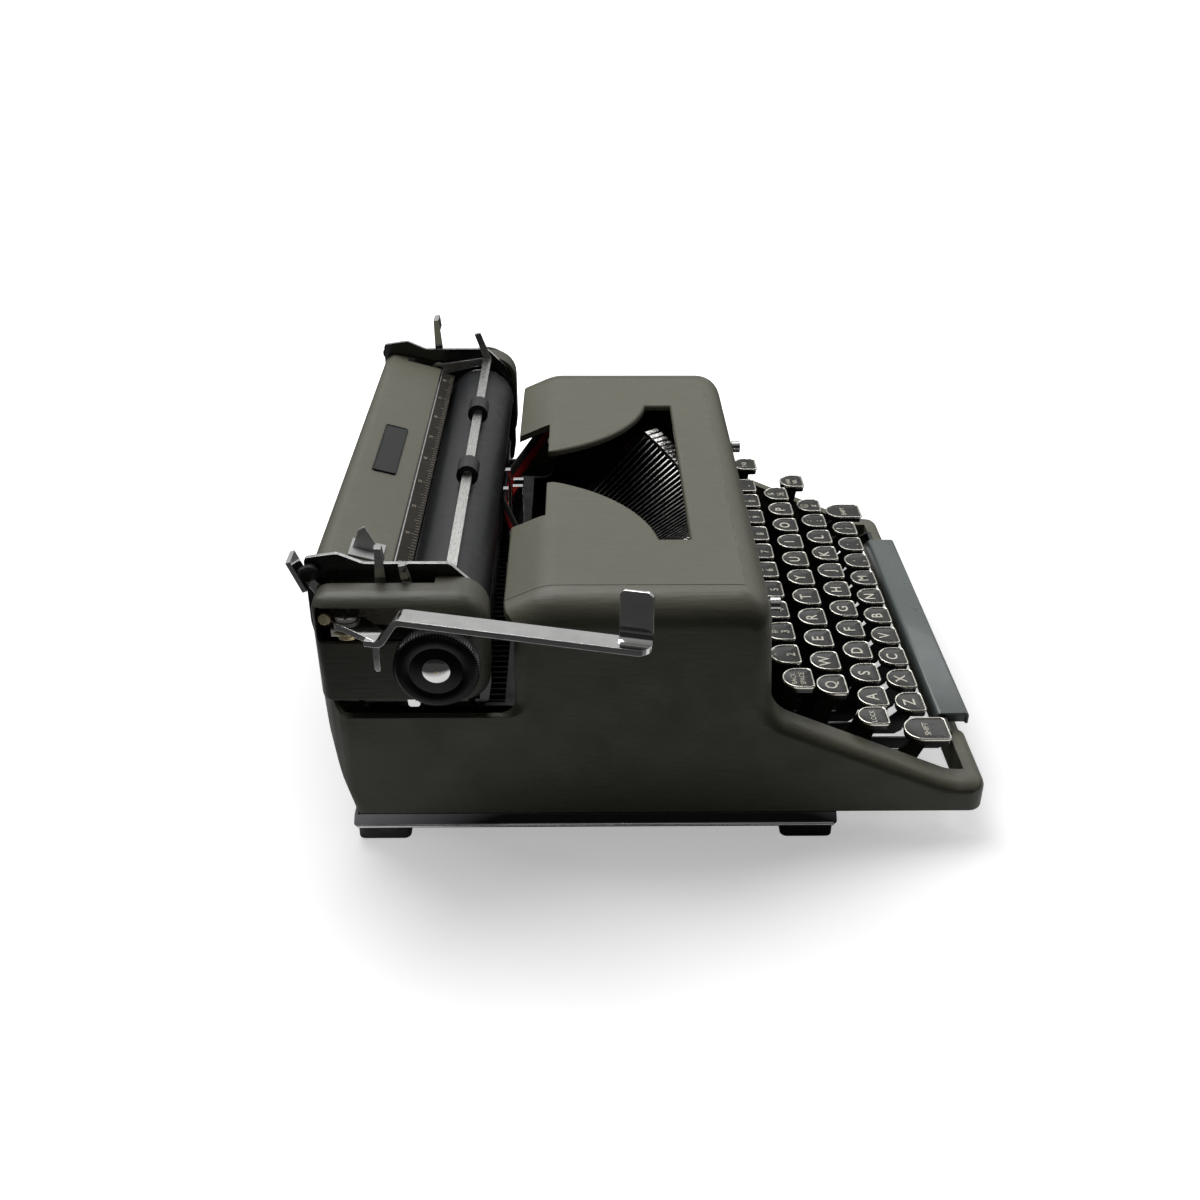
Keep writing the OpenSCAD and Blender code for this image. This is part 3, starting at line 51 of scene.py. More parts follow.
def make_camera():
    pitch, yaw, roll = (math.radians(a) for a in (PITCH, YAW, ROLL))
    look = Vector((math.cos(pitch) * math.cos(yaw),
                   math.cos(pitch) * math.sin(yaw),
                   -math.sin(pitch)))
    level_up = Vector((math.sin(pitch) * math.cos(yaw),
                       math.sin(pitch) * math.sin(yaw),
                       math.cos(pitch)))
    level_right = look.cross(level_up)
    right = level_right * math.cos(roll) + level_up * math.sin(roll)
    up = level_up * math.cos(roll) - level_right * math.sin(roll)
    data = bpy.data.cameras.new("camera")
    data.lens = LENS
    data.sensor_width = SENSOR
    data.clip_start = 0.01
    camera = bpy.data.objects.new("camera", data)
    rows = zip(right, up, -look, Vector(CAMERA_PLACE))
    camera.matrix_world = Matrix([*rows, (0, 0, 0, 1)])
    scene.collection.objects.link(camera)
    scene.camera = camera


make_camera()

# Helpers for node materials, with edge radii in metres
SOFT_EDGE = 0.0003
PAINT_EDGE = 0.00012
WORN_EDGE = 0.0005


def new_material(name):
    m = bpy.data.materials.new(name)
    m.use_nodes = True
    return m, m.node_tree, m.node_tree.nodes["Principled BSDF"]


def node(nt, kind, **values):
    n = nt.nodes.new(kind)
    for key, value in values.items():
        setattr(n, key, value)
    return n


def noise(nt, scale, detail=4.0, rough=0.55, stretch=None):
    place = node(nt, "ShaderNodeTexCoord").outputs["Object"]
    if stretch:
        mapping = node(nt, "ShaderNodeMapping")
        mapping.inputs["Scale"].default_value = stretch
        nt.links.new(place, mapping.inputs["Vector"])
        place = mapping.outputs["Vector"]
    tex = node(nt, "ShaderNodeTexNoise")
    tex.inputs["Scale"].default_value = scale
    tex.inputs["Detail"].default_value = detail
    tex.inputs["Roughness"].default_value = rough
    nt.links.new(place, tex.inputs["Vector"])
    return tex.outputs["Fac"]


def ramp(nt, fac, stops):
    r = node(nt, "ShaderNodeValToRGB")
    while len(r.color_ramp.elements) < len(stops):
        r.color_ramp.elements.new(0.5)
    for element, (place, colour) in zip(r.color_ramp.elements, stops):
        element.position = place
        element.color = (*colour, 1)
    nt.links.new(fac, r.inputs["Fac"])
    return r.outputs["Color"]


def span(nt, fac, lo, hi, start=0.3, end=0.7):
    """Takes start..end of a value to lo..hi."""
    r = node(nt, "ShaderNodeMapRange")
    r.inputs["From Min"].default_value = start
    r.inputs["From Max"].default_value = end
    r.inputs["To Min"].default_value = lo
    r.inputs["To Max"].default_value = hi
    nt.links.new(fac, r.inputs["Value"])
    return r.outputs["Result"]


def bump(nt, bsdf, fac, strength, distance, under=None):
    b = node(nt, "ShaderNodeBump")
    b.inputs["Strength"].default_value = strength
    b.inputs["Distance"].default_value = distance
    nt.links.new(fac, b.inputs["Height"])
    if under:
        nt.links.new(under, b.inputs["Normal"])
    nt.links.new(b.outputs["Normal"], bsdf.inputs["Normal"])
    return b.outputs["Normal"]


def soft_edges(nt, radius):
    b = node(nt, "ShaderNodeBevel", samples=4)
    b.inputs["Radius"].default_value = radius
    return b.outputs["Normal"]


def shade(colour, k):
    return tuple(max(0.0, min(1.0, c * k)) for c in colour)


def edge_wear(nt, radius):
    """Share of rubbed edge: where the softened normal leaves the face's own."""
    near = node(nt, "ShaderNodeVectorMath", operation="DOT_PRODUCT")
    nt.links.new(soft_edges(nt, radius), near.inputs[0])
    nt.links.new(node(nt, "ShaderNodeNewGeometry").outputs["Normal"], near.inputs[1])
    return span(nt, near.outputs["Value"], 1, 0, 0.93, 0.995)


def mix_colour(nt, fac, a, b):
    m = node(nt, "ShaderNodeMix", data_type="RGBA")
    nt.links.new(fac, m.inputs["Factor"])
    for socket, value in ((6, a), (7, b)):
        if isinstance(value, tuple):
            m.inputs[socket].default_value = (*value, 1)
        else:
            nt.links.new(value, m.inputs[socket])
    return m.outputs[2]


def math_node(nt, operation, a, b):
    m = node(nt, "ShaderNodeMath", operation=operation)
    nt.links.new(a, m.inputs[0])
    nt.links.new(b, m.inputs[1])
    return m.outputs[0]


def paint(name, colour, rough=(0.4, 0.52), grain=0.5):
    m, nt, b = new_material(name)
    clouds = [(0.3, shade(colour, 0.95)), (0.7, shade(colour, 1.05))]
    col = ramp(nt, noise(nt, 9, 3), clouds)
    streaks = noise(nt, 620, 4, 0.6, (1, 0.13, 1))
    col = mix_colour(nt, span(nt, streaks, 0.0, 0.22, 0.4, 0.65), col, shade(colour, 0.6))
    fine = span(nt, noise(nt, 1300, 3, 0.6), 0.0, 0.3, 0.4, 0.75)
    col = mix_colour(nt, fine, col, shade(colour, 0.74))
    specks = span(nt, noise(nt, 240, 2), 0, 0.5, 0.74, 0.78)
    col = mix_colour(nt, specks, col, shade(colour, 0.55))
    spots = span(nt, noise(nt, 170, 5), 0, 0.6, 0.45, 0.62)
    worn = math_node(nt, "MULTIPLY", edge_wear(nt, WORN_EDGE), spots)
    col = mix_colour(nt, worn, col, shade(colour, 2.0))
    nt.links.new(col, b.inputs["Base Color"])
    nt.links.new(span(nt, noise(nt, 60, 4), *rough), b.inputs["Roughness"])
    under = soft_edges(nt, PAINT_EDGE)
    under = bump(nt, b, noise(nt, 1500, 2, 0.5), grain * 0.6, 0.0001, under)
    bump(nt, b, streaks, grain, 0.0003, under)
    return m


def metal(name, colour, rough=(0.08, 0.18), scratch=0.06, stretch=(1, 1, 1), dirt=0.12):
    m, nt, b = new_material(name)
    b.inputs["Metallic"].default_value = 1.0
    col = ramp(nt, noise(nt, 90, 5, 0.6), [(0.3, shade(colour, 1 - dirt)), (0.6, colour)])
    nt.links.new(col, b.inputs["Base Color"])
    nt.links.new(span(nt, noise(nt, 260, 5, 0.65, stretch), *rough), b.inputs["Roughness"])
    scratches = noise(nt, 500, 3, 0.5, stretch)
    bump(nt, b, scratches, scratch, 0.00008, soft_edges(nt, SOFT_EDGE))
    return m


def gloss(name, colour, rough=(0.12, 0.24), coat=0.0, mottle=0.12, grain=0.04, scale=40,
          shine=0.5):
    m, nt, b = new_material(name)
    b.inputs["Specular IOR Level"].default_value = shine
    b.inputs["Coat Weight"].default_value = coat
    b.inputs["Coat Roughness"].default_value = 0.06
    clouds = [(0.3, shade(colour, 1 - mottle)), (0.7, shade(colour, 1 + mottle))]
    nt.links.new(ramp(nt, noise(nt, scale, 4), clouds), b.inputs["Base Color"])
    nt.links.new(span(nt, noise(nt, 180, 5), *rough), b.inputs["Roughness"])
    bump(nt, b, noise(nt, 700, 3), grain, 0.0001, soft_edges(nt, SOFT_EDGE))
    return m


def ribbon_cloth(name, black, red, join_z):
    m, nt, b = new_material(name)
    place = node(nt, "ShaderNodeTexCoord").outputs["Object"]
    axes = node(nt, "ShaderNodeSeparateXYZ")
    nt.links.new(place, axes.inputs["Vector"])
    low = span(nt, axes.outputs["Z"], 1, 0, join_z - 0.0002, join_z + 0.0002)
    col = mix_colour(nt, low, black, red)
    col = mix_colour(nt, span(nt, noise(nt, 2600, 2), 0, 0.4), col, shade(black, 0.7))
    nt.links.new(col, b.inputs["Base Color"])
    b.inputs["Roughness"].default_value = 0.75
    threads = []
    for way in "XZ":
        wave = node(nt, "ShaderNodeTexWave", wave_type="BANDS", bands_direction=way)
        wave.inputs["Scale"].default_value = 900
        nt.links.new(place, wave.inputs["Vector"])
        threads.append(wave.outputs["Fac"])
    bump(nt, b, math_node(nt, "MULTIPLY", *threads), 0.4, 0.0001)
    return m


OLIVE = (0.156, 0.153, 0.110)
MAT = {
    "paint": paint("body_paint", OLIVE),
    "paint_end": paint("end_paint", shade(OLIVE, 0.6)),
    "paint_table": paint("table_paint", shade(OLIVE, 0.9)),
    "enamel": gloss("black_enamel", (0.013, 0.013, 0.013), (0.14, 0.3), 0.3),
    # Bright metal on the enamel end plates' edges stands in for the highlights along them: painted
    # highlight.
    "edge": metal("highlight_edge_metal", (0.78, 0.78, 0.76), (0.12, 0.25)),
    "casting": gloss("japanned_casting", (0.012, 0.012, 0.012), (0.35, 0.55), grain=0.25),
    "chrome": metal("chrome", (0.86, 0.86, 0.85), (0.04, 0.11)),
    # The side rails' chrome is darkened to near black, standing in for the dark reflections along
    # them: painted shade.
    "rail": metal("chrome_darkened_as_shade", (0.14, 0.14, 0.15), (0.06, 0.16)),
    "steel": metal("satin_steel", (0.58, 0.58, 0.56), (0.22, 0.38), 0.12, (1, 12, 12)),
    "dark_steel": metal("dark_steel", (0.10, 0.098, 0.095), (0.35, 0.5), 0.12),
    "lever": gloss("key_lever", (0.010, 0.010, 0.010), (0.3, 0.45)),
    "type_edge": metal("type_edge", (0.72, 0.71, 0.68), (0.2, 0.36), 0.1, dirt=0.3),
    "type_face": metal("type_face", (0.86, 0.85, 0.82), (0.25, 0.4), 0.1, dirt=0.2),
    "rubber": gloss("platen_rubber", (0.016, 0.017, 0.019), (0.36, 0.48), grain=0.12, shine=0.4),
    "foot_rubber": gloss("foot_rubber", (0.012, 0.012, 0.012), (0.5, 0.7), grain=0.3),
    "skirt": gloss("key_skirt", (0.008, 0.008, 0.008), (0.2, 0.34), 0.2),
    "key_face": gloss("key_face", (0.030, 0.030, 0.028), (0.2, 0.32), shine=0.35),
    "key_ring": metal("key_ring", (0.80, 0.78, 0.70), (0.14, 0.28)),
    "legend": gloss("key_legend", (0.90, 0.87, 0.74), (0.35, 0.5)),
    "space": gloss("space_bar", (0.135, 0.158, 0.155), (0.26, 0.38), 0.1, 0.06),
    "knob": gloss("knob", (0.007, 0.007, 0.008), (0.16, 0.28), shine=0.22),
    "wood": gloss("platen_core", (0.20, 0.14, 0.08), (0.4, 0.6), grain=0.3),
    "nickel": metal("nickel", (0.88, 0.86, 0.80), (0.26, 0.4)),
    "cadmium": gloss("plated_bracket", (0.62, 0.58, 0.47), (0.3, 0.5), mottle=0.2),
    # The paper guide is chrome; this pale grey non-metal stands in for its bright reflections:
    # painted reflection.
    "pale_for_chrome": gloss("pale_painted_reflection", (0.58, 0.59, 0.58), (0.25, 0.4), mottle=0.08),
    "brass": metal("brass", (0.70, 0.60, 0.38), (0.2, 0.36)),
    "felt": gloss("felt", (0.060, 0.022, 0.018), (0.85, 0.98), grain=0.9, scale=300),
    "ribbon": ribbon_cloth("ribbon", (0.014, 0.012, 0.012), (0.85, 0.012, 0.012), 0.1055),
    "plate": gloss("bare_plate", (0.016, 0.017, 0.017), (0.3, 0.45), shine=0.3),
    "scale": gloss("paper_scale", (0.020, 0.017, 0.012), (0.4, 0.55), mottle=0.3, shine=0.12),
    "scale_mark": gloss("scale_mark", (0.36, 0.31, 0.24), (0.4, 0.55)),
}


# Outlines: points are (across, up, corner radius), in anticlockwise order
def corner_points(a, b, c, in_a, in_c, steps):
    """The corner at b, after its edges from a and to c have moved in by in_a and in_c."""
    u = Vector((b[0] - a[0], b[1] - a[1])).normalized()
    w = Vector((c[0] - b[0], c[1] - b[1])).normalized()
    left_u = Vector((-u.y, u.x))
    left_w = Vector((-w.y, w.x))
    p = Vector(b[:2]) + left_u * in_a
    q = Vector(b[:2]) + left_w * in_c
    cross = u.x * w.y - u.y * w.x
    apex = p + u * (((q - p).x * w.y - (q - p).y * w.x) / cross)
    if b[2] <= 0:
        return [apex]
    way = 1 if cross > 0 else -1
    r = max(0.02, b[2] - way * (in_a + in_c) / 2)
    turn = math.acos(max(-1.0, min(1.0, u.dot(w))))
    start = apex - u * (r * math.tan(turn / 2))
    centre = start + left_u * (way * r)
    spoke = start - centre
    points = []
    for i in range(steps + 1):
        t = way * turn * i / steps
        swung = (spoke.x * math.cos(t) - spoke.y * math.sin(t),
                 spoke.x * math.sin(t) + spoke.y * math.cos(t))
        points.append(centre + Vector(swung))
    return points


def rounded(outline, inset=0.0, steps=6):
    points = []
    for i, b in enumerate(outline):
        a, c = outline[i - 1], outline[(i + 1) % len(outline)]
        points += corner_points(a, b, c, inset, inset, steps)
    return [tuple(p) for p in points]


def inset_outline(outline, d):
    moved = []
    for i, b in enumerate(outline):
        a, c = outline[i - 1], outline[(i + 1) % len(outline)]
        apex = corner_points(a, (b[0], b[1], 0), c, d, d, 1)[0]
        hollow = (b[0] - a[0]) * (c[1] - b[1]) - (b[1] - a[1]) * (c[0] - b[0]) < 0
        r = max(0.2, b[2] + (d if hollow else -d)) if b[2] > 0 else 0
        moved.append((apex.x, apex.y, r))
    return moved


def block(x0, y0, x1, y1, r):
    return [(x0, y0, r), (x1, y0, r), (x1, y1, r), (x0, y1, r)]


def edge_rings(outline, edges, half, steps=7, arc=7):
    """Rings of a side outline. Its edge from corner i on is rounded at the side by edges[i]."""
    rings = []
    for k in range(steps + 1):
        t = math.pi / 2 * k / steps
        drop = 1 - math.cos(t)
        ring = []
        for i, b in enumerate(outline):
            a, c = outline[i - 1], outline[(i + 1) % len(outline)]
            before, after = edges[i - 1], edges[i]
            points = corner_points(a, b, c, before * drop, after * drop, arc)
            x = half - max(before, after) * (1 - math.sin(t))
            ring += [(x, p.x, p.y) for p in points]
        rings.append(ring)
    return rings


def circle(r, h, steps):
    angles = [2 * math.pi * i / steps for i in range(steps)]
    return [(r * math.cos(t), r * math.sin(t), h) for t in angles]


def disc(r, lo, hi):
    return [(0, lo), (r, lo), (r, hi), (0, hi)]


def side_span(side, lo, hi):
    return sorted((side * lo, side * hi))


# A piece is gathered in millimetres, face by face, with a material for each face
AXIS_R = 0.01
SHARP = 32
TO_3D = {
    "x": lambda p, h: (h, p[0], p[1]),
    "y": lambda p, h: (p[0], h, p[1]),
    "z": lambda p, h: (p[0], p[1], h),
}


class Shape:
    def __init__(self):
        self.verts = []
        self.faces = []
        self.looks = []

    def add(self, verts, faces, look, place=None):
        base = len(self.verts)
        self.verts += [place @ Vector(v) if place else Vector(v) for v in verts]
        looks = look if isinstance(look, list) else [look] * len(faces)
        self.faces += [[base + i for i in face] for face in faces]
        self.looks += looks
        return self

    def loft(self, rings, look, place=None, ends=True):
        """Joins closed rings of points. A list of looks has one for each band between rings."""
        n = len(rings[0])
        bands = look if isinstance(look, list) else [look] * (len(rings) - 1)
        faces = []
        looks = []
        for k, band in enumerate(bands):
            for i in range(n):
                j = (i + 1) % n
                faces.append((k * n + i, k * n + j, (k + 1) * n + j, (k + 1) * n + i))
                looks.append(band)
        if ends:
            last = (len(rings) - 1) * n
            faces += [tuple(range(n)), tuple(range(last, last + n))]
            looks += [bands[0], bands[-1]]
        return self.add([p for ring in rings for p in ring], faces, looks, place)

    def prism(self, points, axis, lo, hi, look, place=None):
        n = len(points)
        verts = [TO_3D[axis](p, h) for h in (lo, hi) for p in points]
        faces = [(i, (i + 1) % n, n + (i + 1) % n, n + i) for i in range(n)]
        faces += [tuple(range(n)), tuple(range(n, 2 * n))]
        return self.add(verts, faces, look, place)

    def box(self, lo, hi, look, place=None):
        base = [(lo[0], lo[1]), (hi[0], lo[1]), (hi[0], hi[1]), (lo[0], hi[1])]
        return self.prism(base, "z", lo[2], hi[2], look, place)

    def lathe(self, profile, look, place=None, steps=48):
        """Turns a profile of (radius, height) round the Z axis."""
        rings = [circle(max(r, AXIS_R), h, steps) for r, h in profile]
        return self.loft(rings, look, place)

    def text(self, words, size, look, place, depth=0.06):
        verts, faces = glyphs(words, size, depth)
        return self.add(verts, faces, look, place)

    def build(self, name, sharp=SHARP):
        mesh = bpy.data.meshes.new(name)
        mesh.from_pydata([v * MM for v in self.verts], [], self.faces)
        looks = list(dict.fromkeys(self.looks))
        for look in looks:
            mesh.materials.append(MAT[look])
        for face, look in zip(mesh.polygons, self.looks):
            face.material_index = looks.index(look)
        clean(mesh)
        ob = bpy.data.objects.new(name, mesh)
        scene.collection.objects.link(ob)
        smooth(mesh, sharp)
        return ob

    def piece(self, name, body, slot, *nodes, sharp=SHARP):
        return settle(self.build(name, sharp), body, slot, *nodes)


def clean(mesh):
    bm = bmesh.new()
    bm.from_mesh(mesh)
    bmesh.ops.remove_doubles(bm, verts=bm.verts, dist=2e-6)
    bmesh.ops.dissolve_degenerate(bm, edges=bm.edges, dist=1e-6)
    bmesh.ops.recalc_face_normals(bm, faces=bm.faces)
    bm.to_mesh(mesh)
    bm.free()


def smooth(mesh, angle=SHARP):
    for face in mesh.polygons:
        face.use_smooth = True
    mesh.set_sharp_from_angle(angle=math.radians(angle))


def even_normals(ob):
    smooth(ob.data, 28)
    even = ob.modifiers.new("even_normals", "WEIGHTED_NORMAL")
    even.keep_sharp = True
    even.weight = 60


def settle(ob, body, slot, *nodes):
    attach(ob, body)
    if nodes:
        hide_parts(*nodes)
    return ob


GLYPHS = {}
STROKE_GROWTH = 0.014
CAPITAL_MIDDLE = 0.36


def glyphs(words, size, depth):
    """Faces of a word in millimetres, centred, with its capitals' middle at height 0."""
    key = (words, size, depth)
    if key not in GLYPHS:
        curve = bpy.data.curves.new("glyph", "FONT")
        curve.body = words
        curve.size = size
        curve.extrude = depth
        curve.offset = STROKE_GROWTH * size
        curve.resolution_u = 3
        ob = bpy.data.objects.new("glyph", curve)
        scene.collection.objects.link(ob)
        depsgraph = bpy.context.evaluated_depsgraph_get()
        mesh = bpy.data.meshes.new_from_object(ob.evaluated_get(depsgraph))
        xs = [v.co.x for v in mesh.vertices]
        middle = (min(xs) + max(xs)) / 2
        lower = CAPITAL_MIDDLE * size
        verts = [(v.co.x - middle, v.co.y - lower, v.co.z) for v in mesh.vertices]
        GLYPHS[key] = (verts, [tuple(f.vertices) for f in mesh.polygons])
        bpy.data.objects.remove(ob)
        bpy.data.curves.remove(curve)
        bpy.data.meshes.remove(mesh)
    return GLYPHS[key]


def cut(target, shape, operation="DIFFERENCE"):
    tool = shape.build("tool") if isinstance(shape, Shape) else shape
    mod = target.modifiers.new("cut", "BOOLEAN")
    mod.operation = operation
    mod.solver = "EXACT"
    mod.object = tool
    depsgraph = bpy.context.evaluated_depsgraph_get()
    mesh = bpy.data.meshes.new_from_object(target.evaluated_get(depsgraph))
    target.modifiers.clear()
    used = [target.data, tool.data]
    target.data = mesh
    bpy.data.objects.remove(tool)
    for old in used:
        bpy.data.meshes.remove(old)


def cut_box(target, lo, hi, operation="DIFFERENCE", look="paint"):
    cut(target, Shape().box(lo, hi, look), operation)


def along_x(y, z, side=1):
    """Turns a lathe's axis along X, outwards to one side, through a point in the side view."""
    return Matrix.Translation((0, y, z)) @ Matrix.Rotation(side * math.pi / 2, 4, "Y")


def at(x, y, z):
    return Matrix.Translation((x, y, z))


# Sizes of the painted body from the CAD source, in millimetres
HALF = 129.3
WALL = 3.0
BOTTOM = 14.2
FRONT = -144.5
FRONT_TOP = 28.5
HOOD_TOP = 122.0
HOOD_REAR = 64.7
DECK = 67
REAR_FOOT = 131.3
REAR_BULGE = 10.7
REAR_TOP = 76
REAR_END = 142.5
REAR_CORNER_R = 17
HINGE = (-31.0, 119.5)
# The cover reaches this far in front of its hinge, and its edge sweeps a round hollow in the shell
NOSE_Y = HINGE[0] - 2.8
NOSE_R = 3.61
COVER_HALF = 114.8
COVER_GAP = 0.4
COVER_LIP = 1.8
WELL_HALF = 117.0
FRONT_BAR_HALF = 88
SELECTOR_X = 84


def rear_y(z):
    t = (z - BOTTOM) / (REAR_TOP - BOTTOM)
    return REAR_FOOT + REAR_BULGE * (1.6 * t - 0.6 * t * t)


ROOF = [(48, HOOD_TOP, 24), (-44.5, HOOD_TOP, 14), (-47.5, 64, 15), (-129, FRONT_TOP, 18),
        (FRONT, FRONT_TOP, 5)]
REAR = [(rear_y(z), z, 60) for z in (33.7, 55)]
BODY_OUTLINE = [(FRONT, BOTTOM, 0), (REAR_FOOT, BOTTOM, 0), *REAR, (142, REAR_TOP, 1.2),
                (137.5, REAR_TOP, 1.2), (rear_y(DECK) - 7.5, DECK, 5), (HOOD_REAR, DECK, 5),
                (HOOD_REAR, 114.5, 1.5), *ROOF]
BODY_EDGES = [1, 3.5, 3.5, 3.5, 0.6, 0.6, 0.8, 12, 13, 13, 9, 6, 4.6, 9]
INSIDE_OUTLINE = [(FRONT, BOTTOM - 4, 0), (130.9, BOTTOM - 4, 0), *REAR, (143, 132, 0),
                  (62, 132, 0), (62, 115.7, 0), *ROOF]
INSIDE_EDGES = [0.4, 0.5, 0.5, 0.5, 0.4, 0.4, 10, 10, 6, 3, 1.6, 6]


def body_form(outline, edges, half, inset, name):
    """A side outline swept across the machine, with the plan view's rounded rear corners."""
    rings = edge_rings(outline, edges, half)
    mirrored = [[(-x, y, z) for x, y, z in ring] for ring in reversed(rings)]
    form = Shape().loft(mirrored + rings, "paint").build(name)
    side, front = HALF + 1, FRONT - 20
    plan = [(-side, front, 0), (side, front, 0), (side, REAR_END, REAR_CORNER_R),
            (-side, REAR_END, REAR_CORNER_R)]
    cut(form, Shape().prism(rounded(plan, inset), "z", 0, 140, "paint"), "INTERSECT")
    return form


def body_skin():
    skin = body_form(BODY_OUTLINE, BODY_EDGES, HALF, 0.0, "skin")
    inside = inset_outline(INSIDE_OUTLINE, WALL)
    hollow = body_form(inside, INSIDE_EDGES, HALF - WALL, WALL, "hollow")
    well = WELL_HALF + WALL
    cut_box(hollow, (-well, FRONT - 5, 0), (well, -41.5, 72))
    cut_box(hollow, (-HALF - 1, FRONT - 5, 0), (HALF + 1, -133, FRONT_TOP))
    cut(skin, hollow)
    return skin


# Painted body and the hinged cover with its opening over the type
def opening_outline():
    end_y, neck_y, r = -1.0, 45.0, 76.8
    wide, neck, notch = 75.0, 17.5, 51.0
    front_y, notch_y, past_y = -14.3, 49.2, 100
    steps = 24
    chord = Vector((wide - neck, end_y - neck_y))
    mid = Vector(((wide + neck) / 2, (end_y + neck_y) / 2))
    across = Vector((-chord.y, chord.x)).normalized()
    centre = mid + across * math.sqrt(r * r - chord.length_squared / 4)
    ends = ((wide, end_y), (neck, neck_y))
    turn = [math.atan2(y - centre.y, x - centre.x) for x, y in ends]
    if turn[1] - turn[0] > math.pi:
        turn[1] -= 2 * math.pi
    if turn[1] - turn[0] < -math.pi:
        turn[1] += 2 * math.pi
    side = [(wide, front_y)]
    for i in range(steps + 1):
        t = turn[0] + (turn[1] - turn[0]) * i / steps
        side.append((centre.x + r * math.cos(t), centre.y + r * math.sin(t)))
    side += [(neck, notch_y), (notch, notch_y), (notch, past_y)]
    return side + [(-x, y) for x, y in reversed(side)]


def grown(points, d):
    """The outline moved out by d along its corners' bisectors."""
    n = len(points)
    moved = []
    for i in range(n):
        a, b, c = (Vector(points[k % n]) for k in (i - 1, i, i + 1))
        u = (b - a).normalized()
        w = (c - b).normalized()
        right = Vector((u.y, -u.x)) + Vector((w.y, -w.x))
        right = right.normalized() / max(0.4, math.sqrt((1 + u.dot(w)) / 2))
        moved.append(tuple(b + right * d))
    return moved


def make_shell(shell):
    well = WELL_HALF
    cut_box(shell, (-well, -136, 0), (well, -47.5, 86))
    cut_box(shell, (-well, -48.5, 0), (well, -40.5, 62))
    cut_box(shell, (-well - WALL, -48, -1), (well + WALL, -38.5, 54))
    reach = COVER_HALF + COVER_GAP
    cut_box(shell, (-reach, NOSE_Y - 0.02, 107), (reach, 70, 125))
    cut(shell, Shape().lathe([(NOSE_R, -reach), (NOSE_R, reach)], "paint", along_x(*HINGE)))
    cut_box(shell, (-FRONT_BAR_HALF, FRONT - 2, 21), (FRONT_BAR_HALF, -134, 30))
    for x in (-SELECTOR_X, SELECTOR_X):
        cut_box(shell, (x - 1.6, -49, 85), (x + 1.6, -39, 103))
    shell.name = "shell_skin"
    even_normals(shell)
    settle(shell, "base", "hood_paint", "body_shell")


def make_cover(cover):
    cut_box(cover, (-COVER_HALF, NOSE_Y, 107.5), (COVER_HALF, 64.9, 125), "INTERSECT")
    outline = opening_outline()
    rings = [[(*p, 100) for p in outline]]
    steps = 5
    for i in range(steps + 1):
        t = math.pi / 2 * i / steps
        height = HOOD_TOP - COVER_LIP + COVER_LIP * math.sin(t)
        rings.append([(*p, height) for p in grown(outline, COVER_LIP * (1 - math.cos(t)))])
    rings.append([(*p, HOOD_TOP + 3) for p in grown(outline, COVER_LIP)])
    cut(cover, Shape().loft(rings, "paint"))
    cover.name = "cover_skin"
    even_normals(cover)
    settle(cover, "cover", "hood_paint", "top_cover")


def make_body():
    shell = body_skin()
    cover = shell.copy()
    cover.data = shell.data.copy()
    scene.collection.objects.link(cover)
    make_shell(shell)
    make_cover(cover)


make_body()

# Keys: a black skirt, a bright ring, a dark dished face with its legend, and the lever below
KEY_W, KEY_D, KEY_T = 15, 13.5, 4.0
KEY_PITCH = 19
KEY_CORNER_R = 2.2
KEY_BANDS = [(1.3, -4.0), (0.5, -3.6), (0.3, -1.4), (0.0, -1.2), (0.0, -0.4), (0.22, -0.08),
             (0.5, 0.0), (0.8, -0.12), (0.95, -0.5), (2.2, -0.66), (4.2, -0.78)]
KEY_LOOKS = ["skirt"] * 3 + ["key_ring"] * 5 + ["key_face"] * 2
LEGEND_Z = -0.64
FRONT_ROW_Y, FRONT_ROW_Z = -117, 43
ROW_STEP_Y, ROW_STEP_Z = 20.0, 9.8
SHAFT = (100.0, 28.0)
HUB_R, HUB_BORE = 6, 3.05
LEVER_T = 1.2
LEVER_HALF_H = 3
LEVER_LO, LEVER_HI = SHAFT[1] - LEVER_HALF_H, SHAFT[1] + LEVER_HALF_H
LOCK_PIVOT = (-20, SHAFT[1])


def add_key(shape, x, y, z, w, d, legend):
    front_r, rear_r = KEY_CORNER_R, w / 2 - 0.2
    outline = [(-w / 2, -d / 2, front_r), (w / 2, -d / 2, front_r), (w / 2, d / 2, rear_r),
               (-w / 2, d / 2, rear_r)]
    rings = [[(*p, h) for p in rounded(outline, t)] for t, h in KEY_BANDS]
    shape.loft(rings, KEY_LOOKS, at(x, y, z))
    for words, size, up in legend:
        shape.text(words, size, "legend", at(x, y + up, z + LEGEND_Z))


def add_ring(shape, r, bore, place, half, look, steps=24):
    profile = [(bore, -half), (r, -half), (r, half), (bore, half), (bore, -half)]
    rings = [circle(radius, h, steps) for radius, h in profile]
    shape.loft(rings, look, place, ends=False)


def add_hub(shape, x):
    add_ring(shape, HUB_R, HUB_BORE, at(x, 0, 0) @ along_x(*SHAFT), LEVER_T / 2, "lever")


def add_lever(shape, x, y, z):
    end = SHAFT[0] - 5
    foot = y + 8
    outline = [(end, LEVER_LO), (end, LEVER_HI), (foot + 3, LEVER_HI), (y + 3, z - KEY_T),
               (y - 3, z - KEY_T), (foot - 6, LEVER_LO + 2), (foot - 3, LEVER_LO)]
    shape.prism(outline, "x", x - LEVER_T / 2, x + LEVER_T / 2, "lever")
    add_hub(shape, x)


# Legends: a list of (words, size, height above the key's middle)
def whole(letter):
    return [(letter, 7.6, 0.2)]


def pair(upper, lower):
    return [(upper, 5.0, 2.9), (lower, 5.4, -2.5)]


def lines(*words):
    size = 3.7 if len(words) == 1 else 3.2
    top = 1.9 * (len(words) - 1)
    return [(word, size, top - 3.8 * i) for i, word in enumerate(words)]


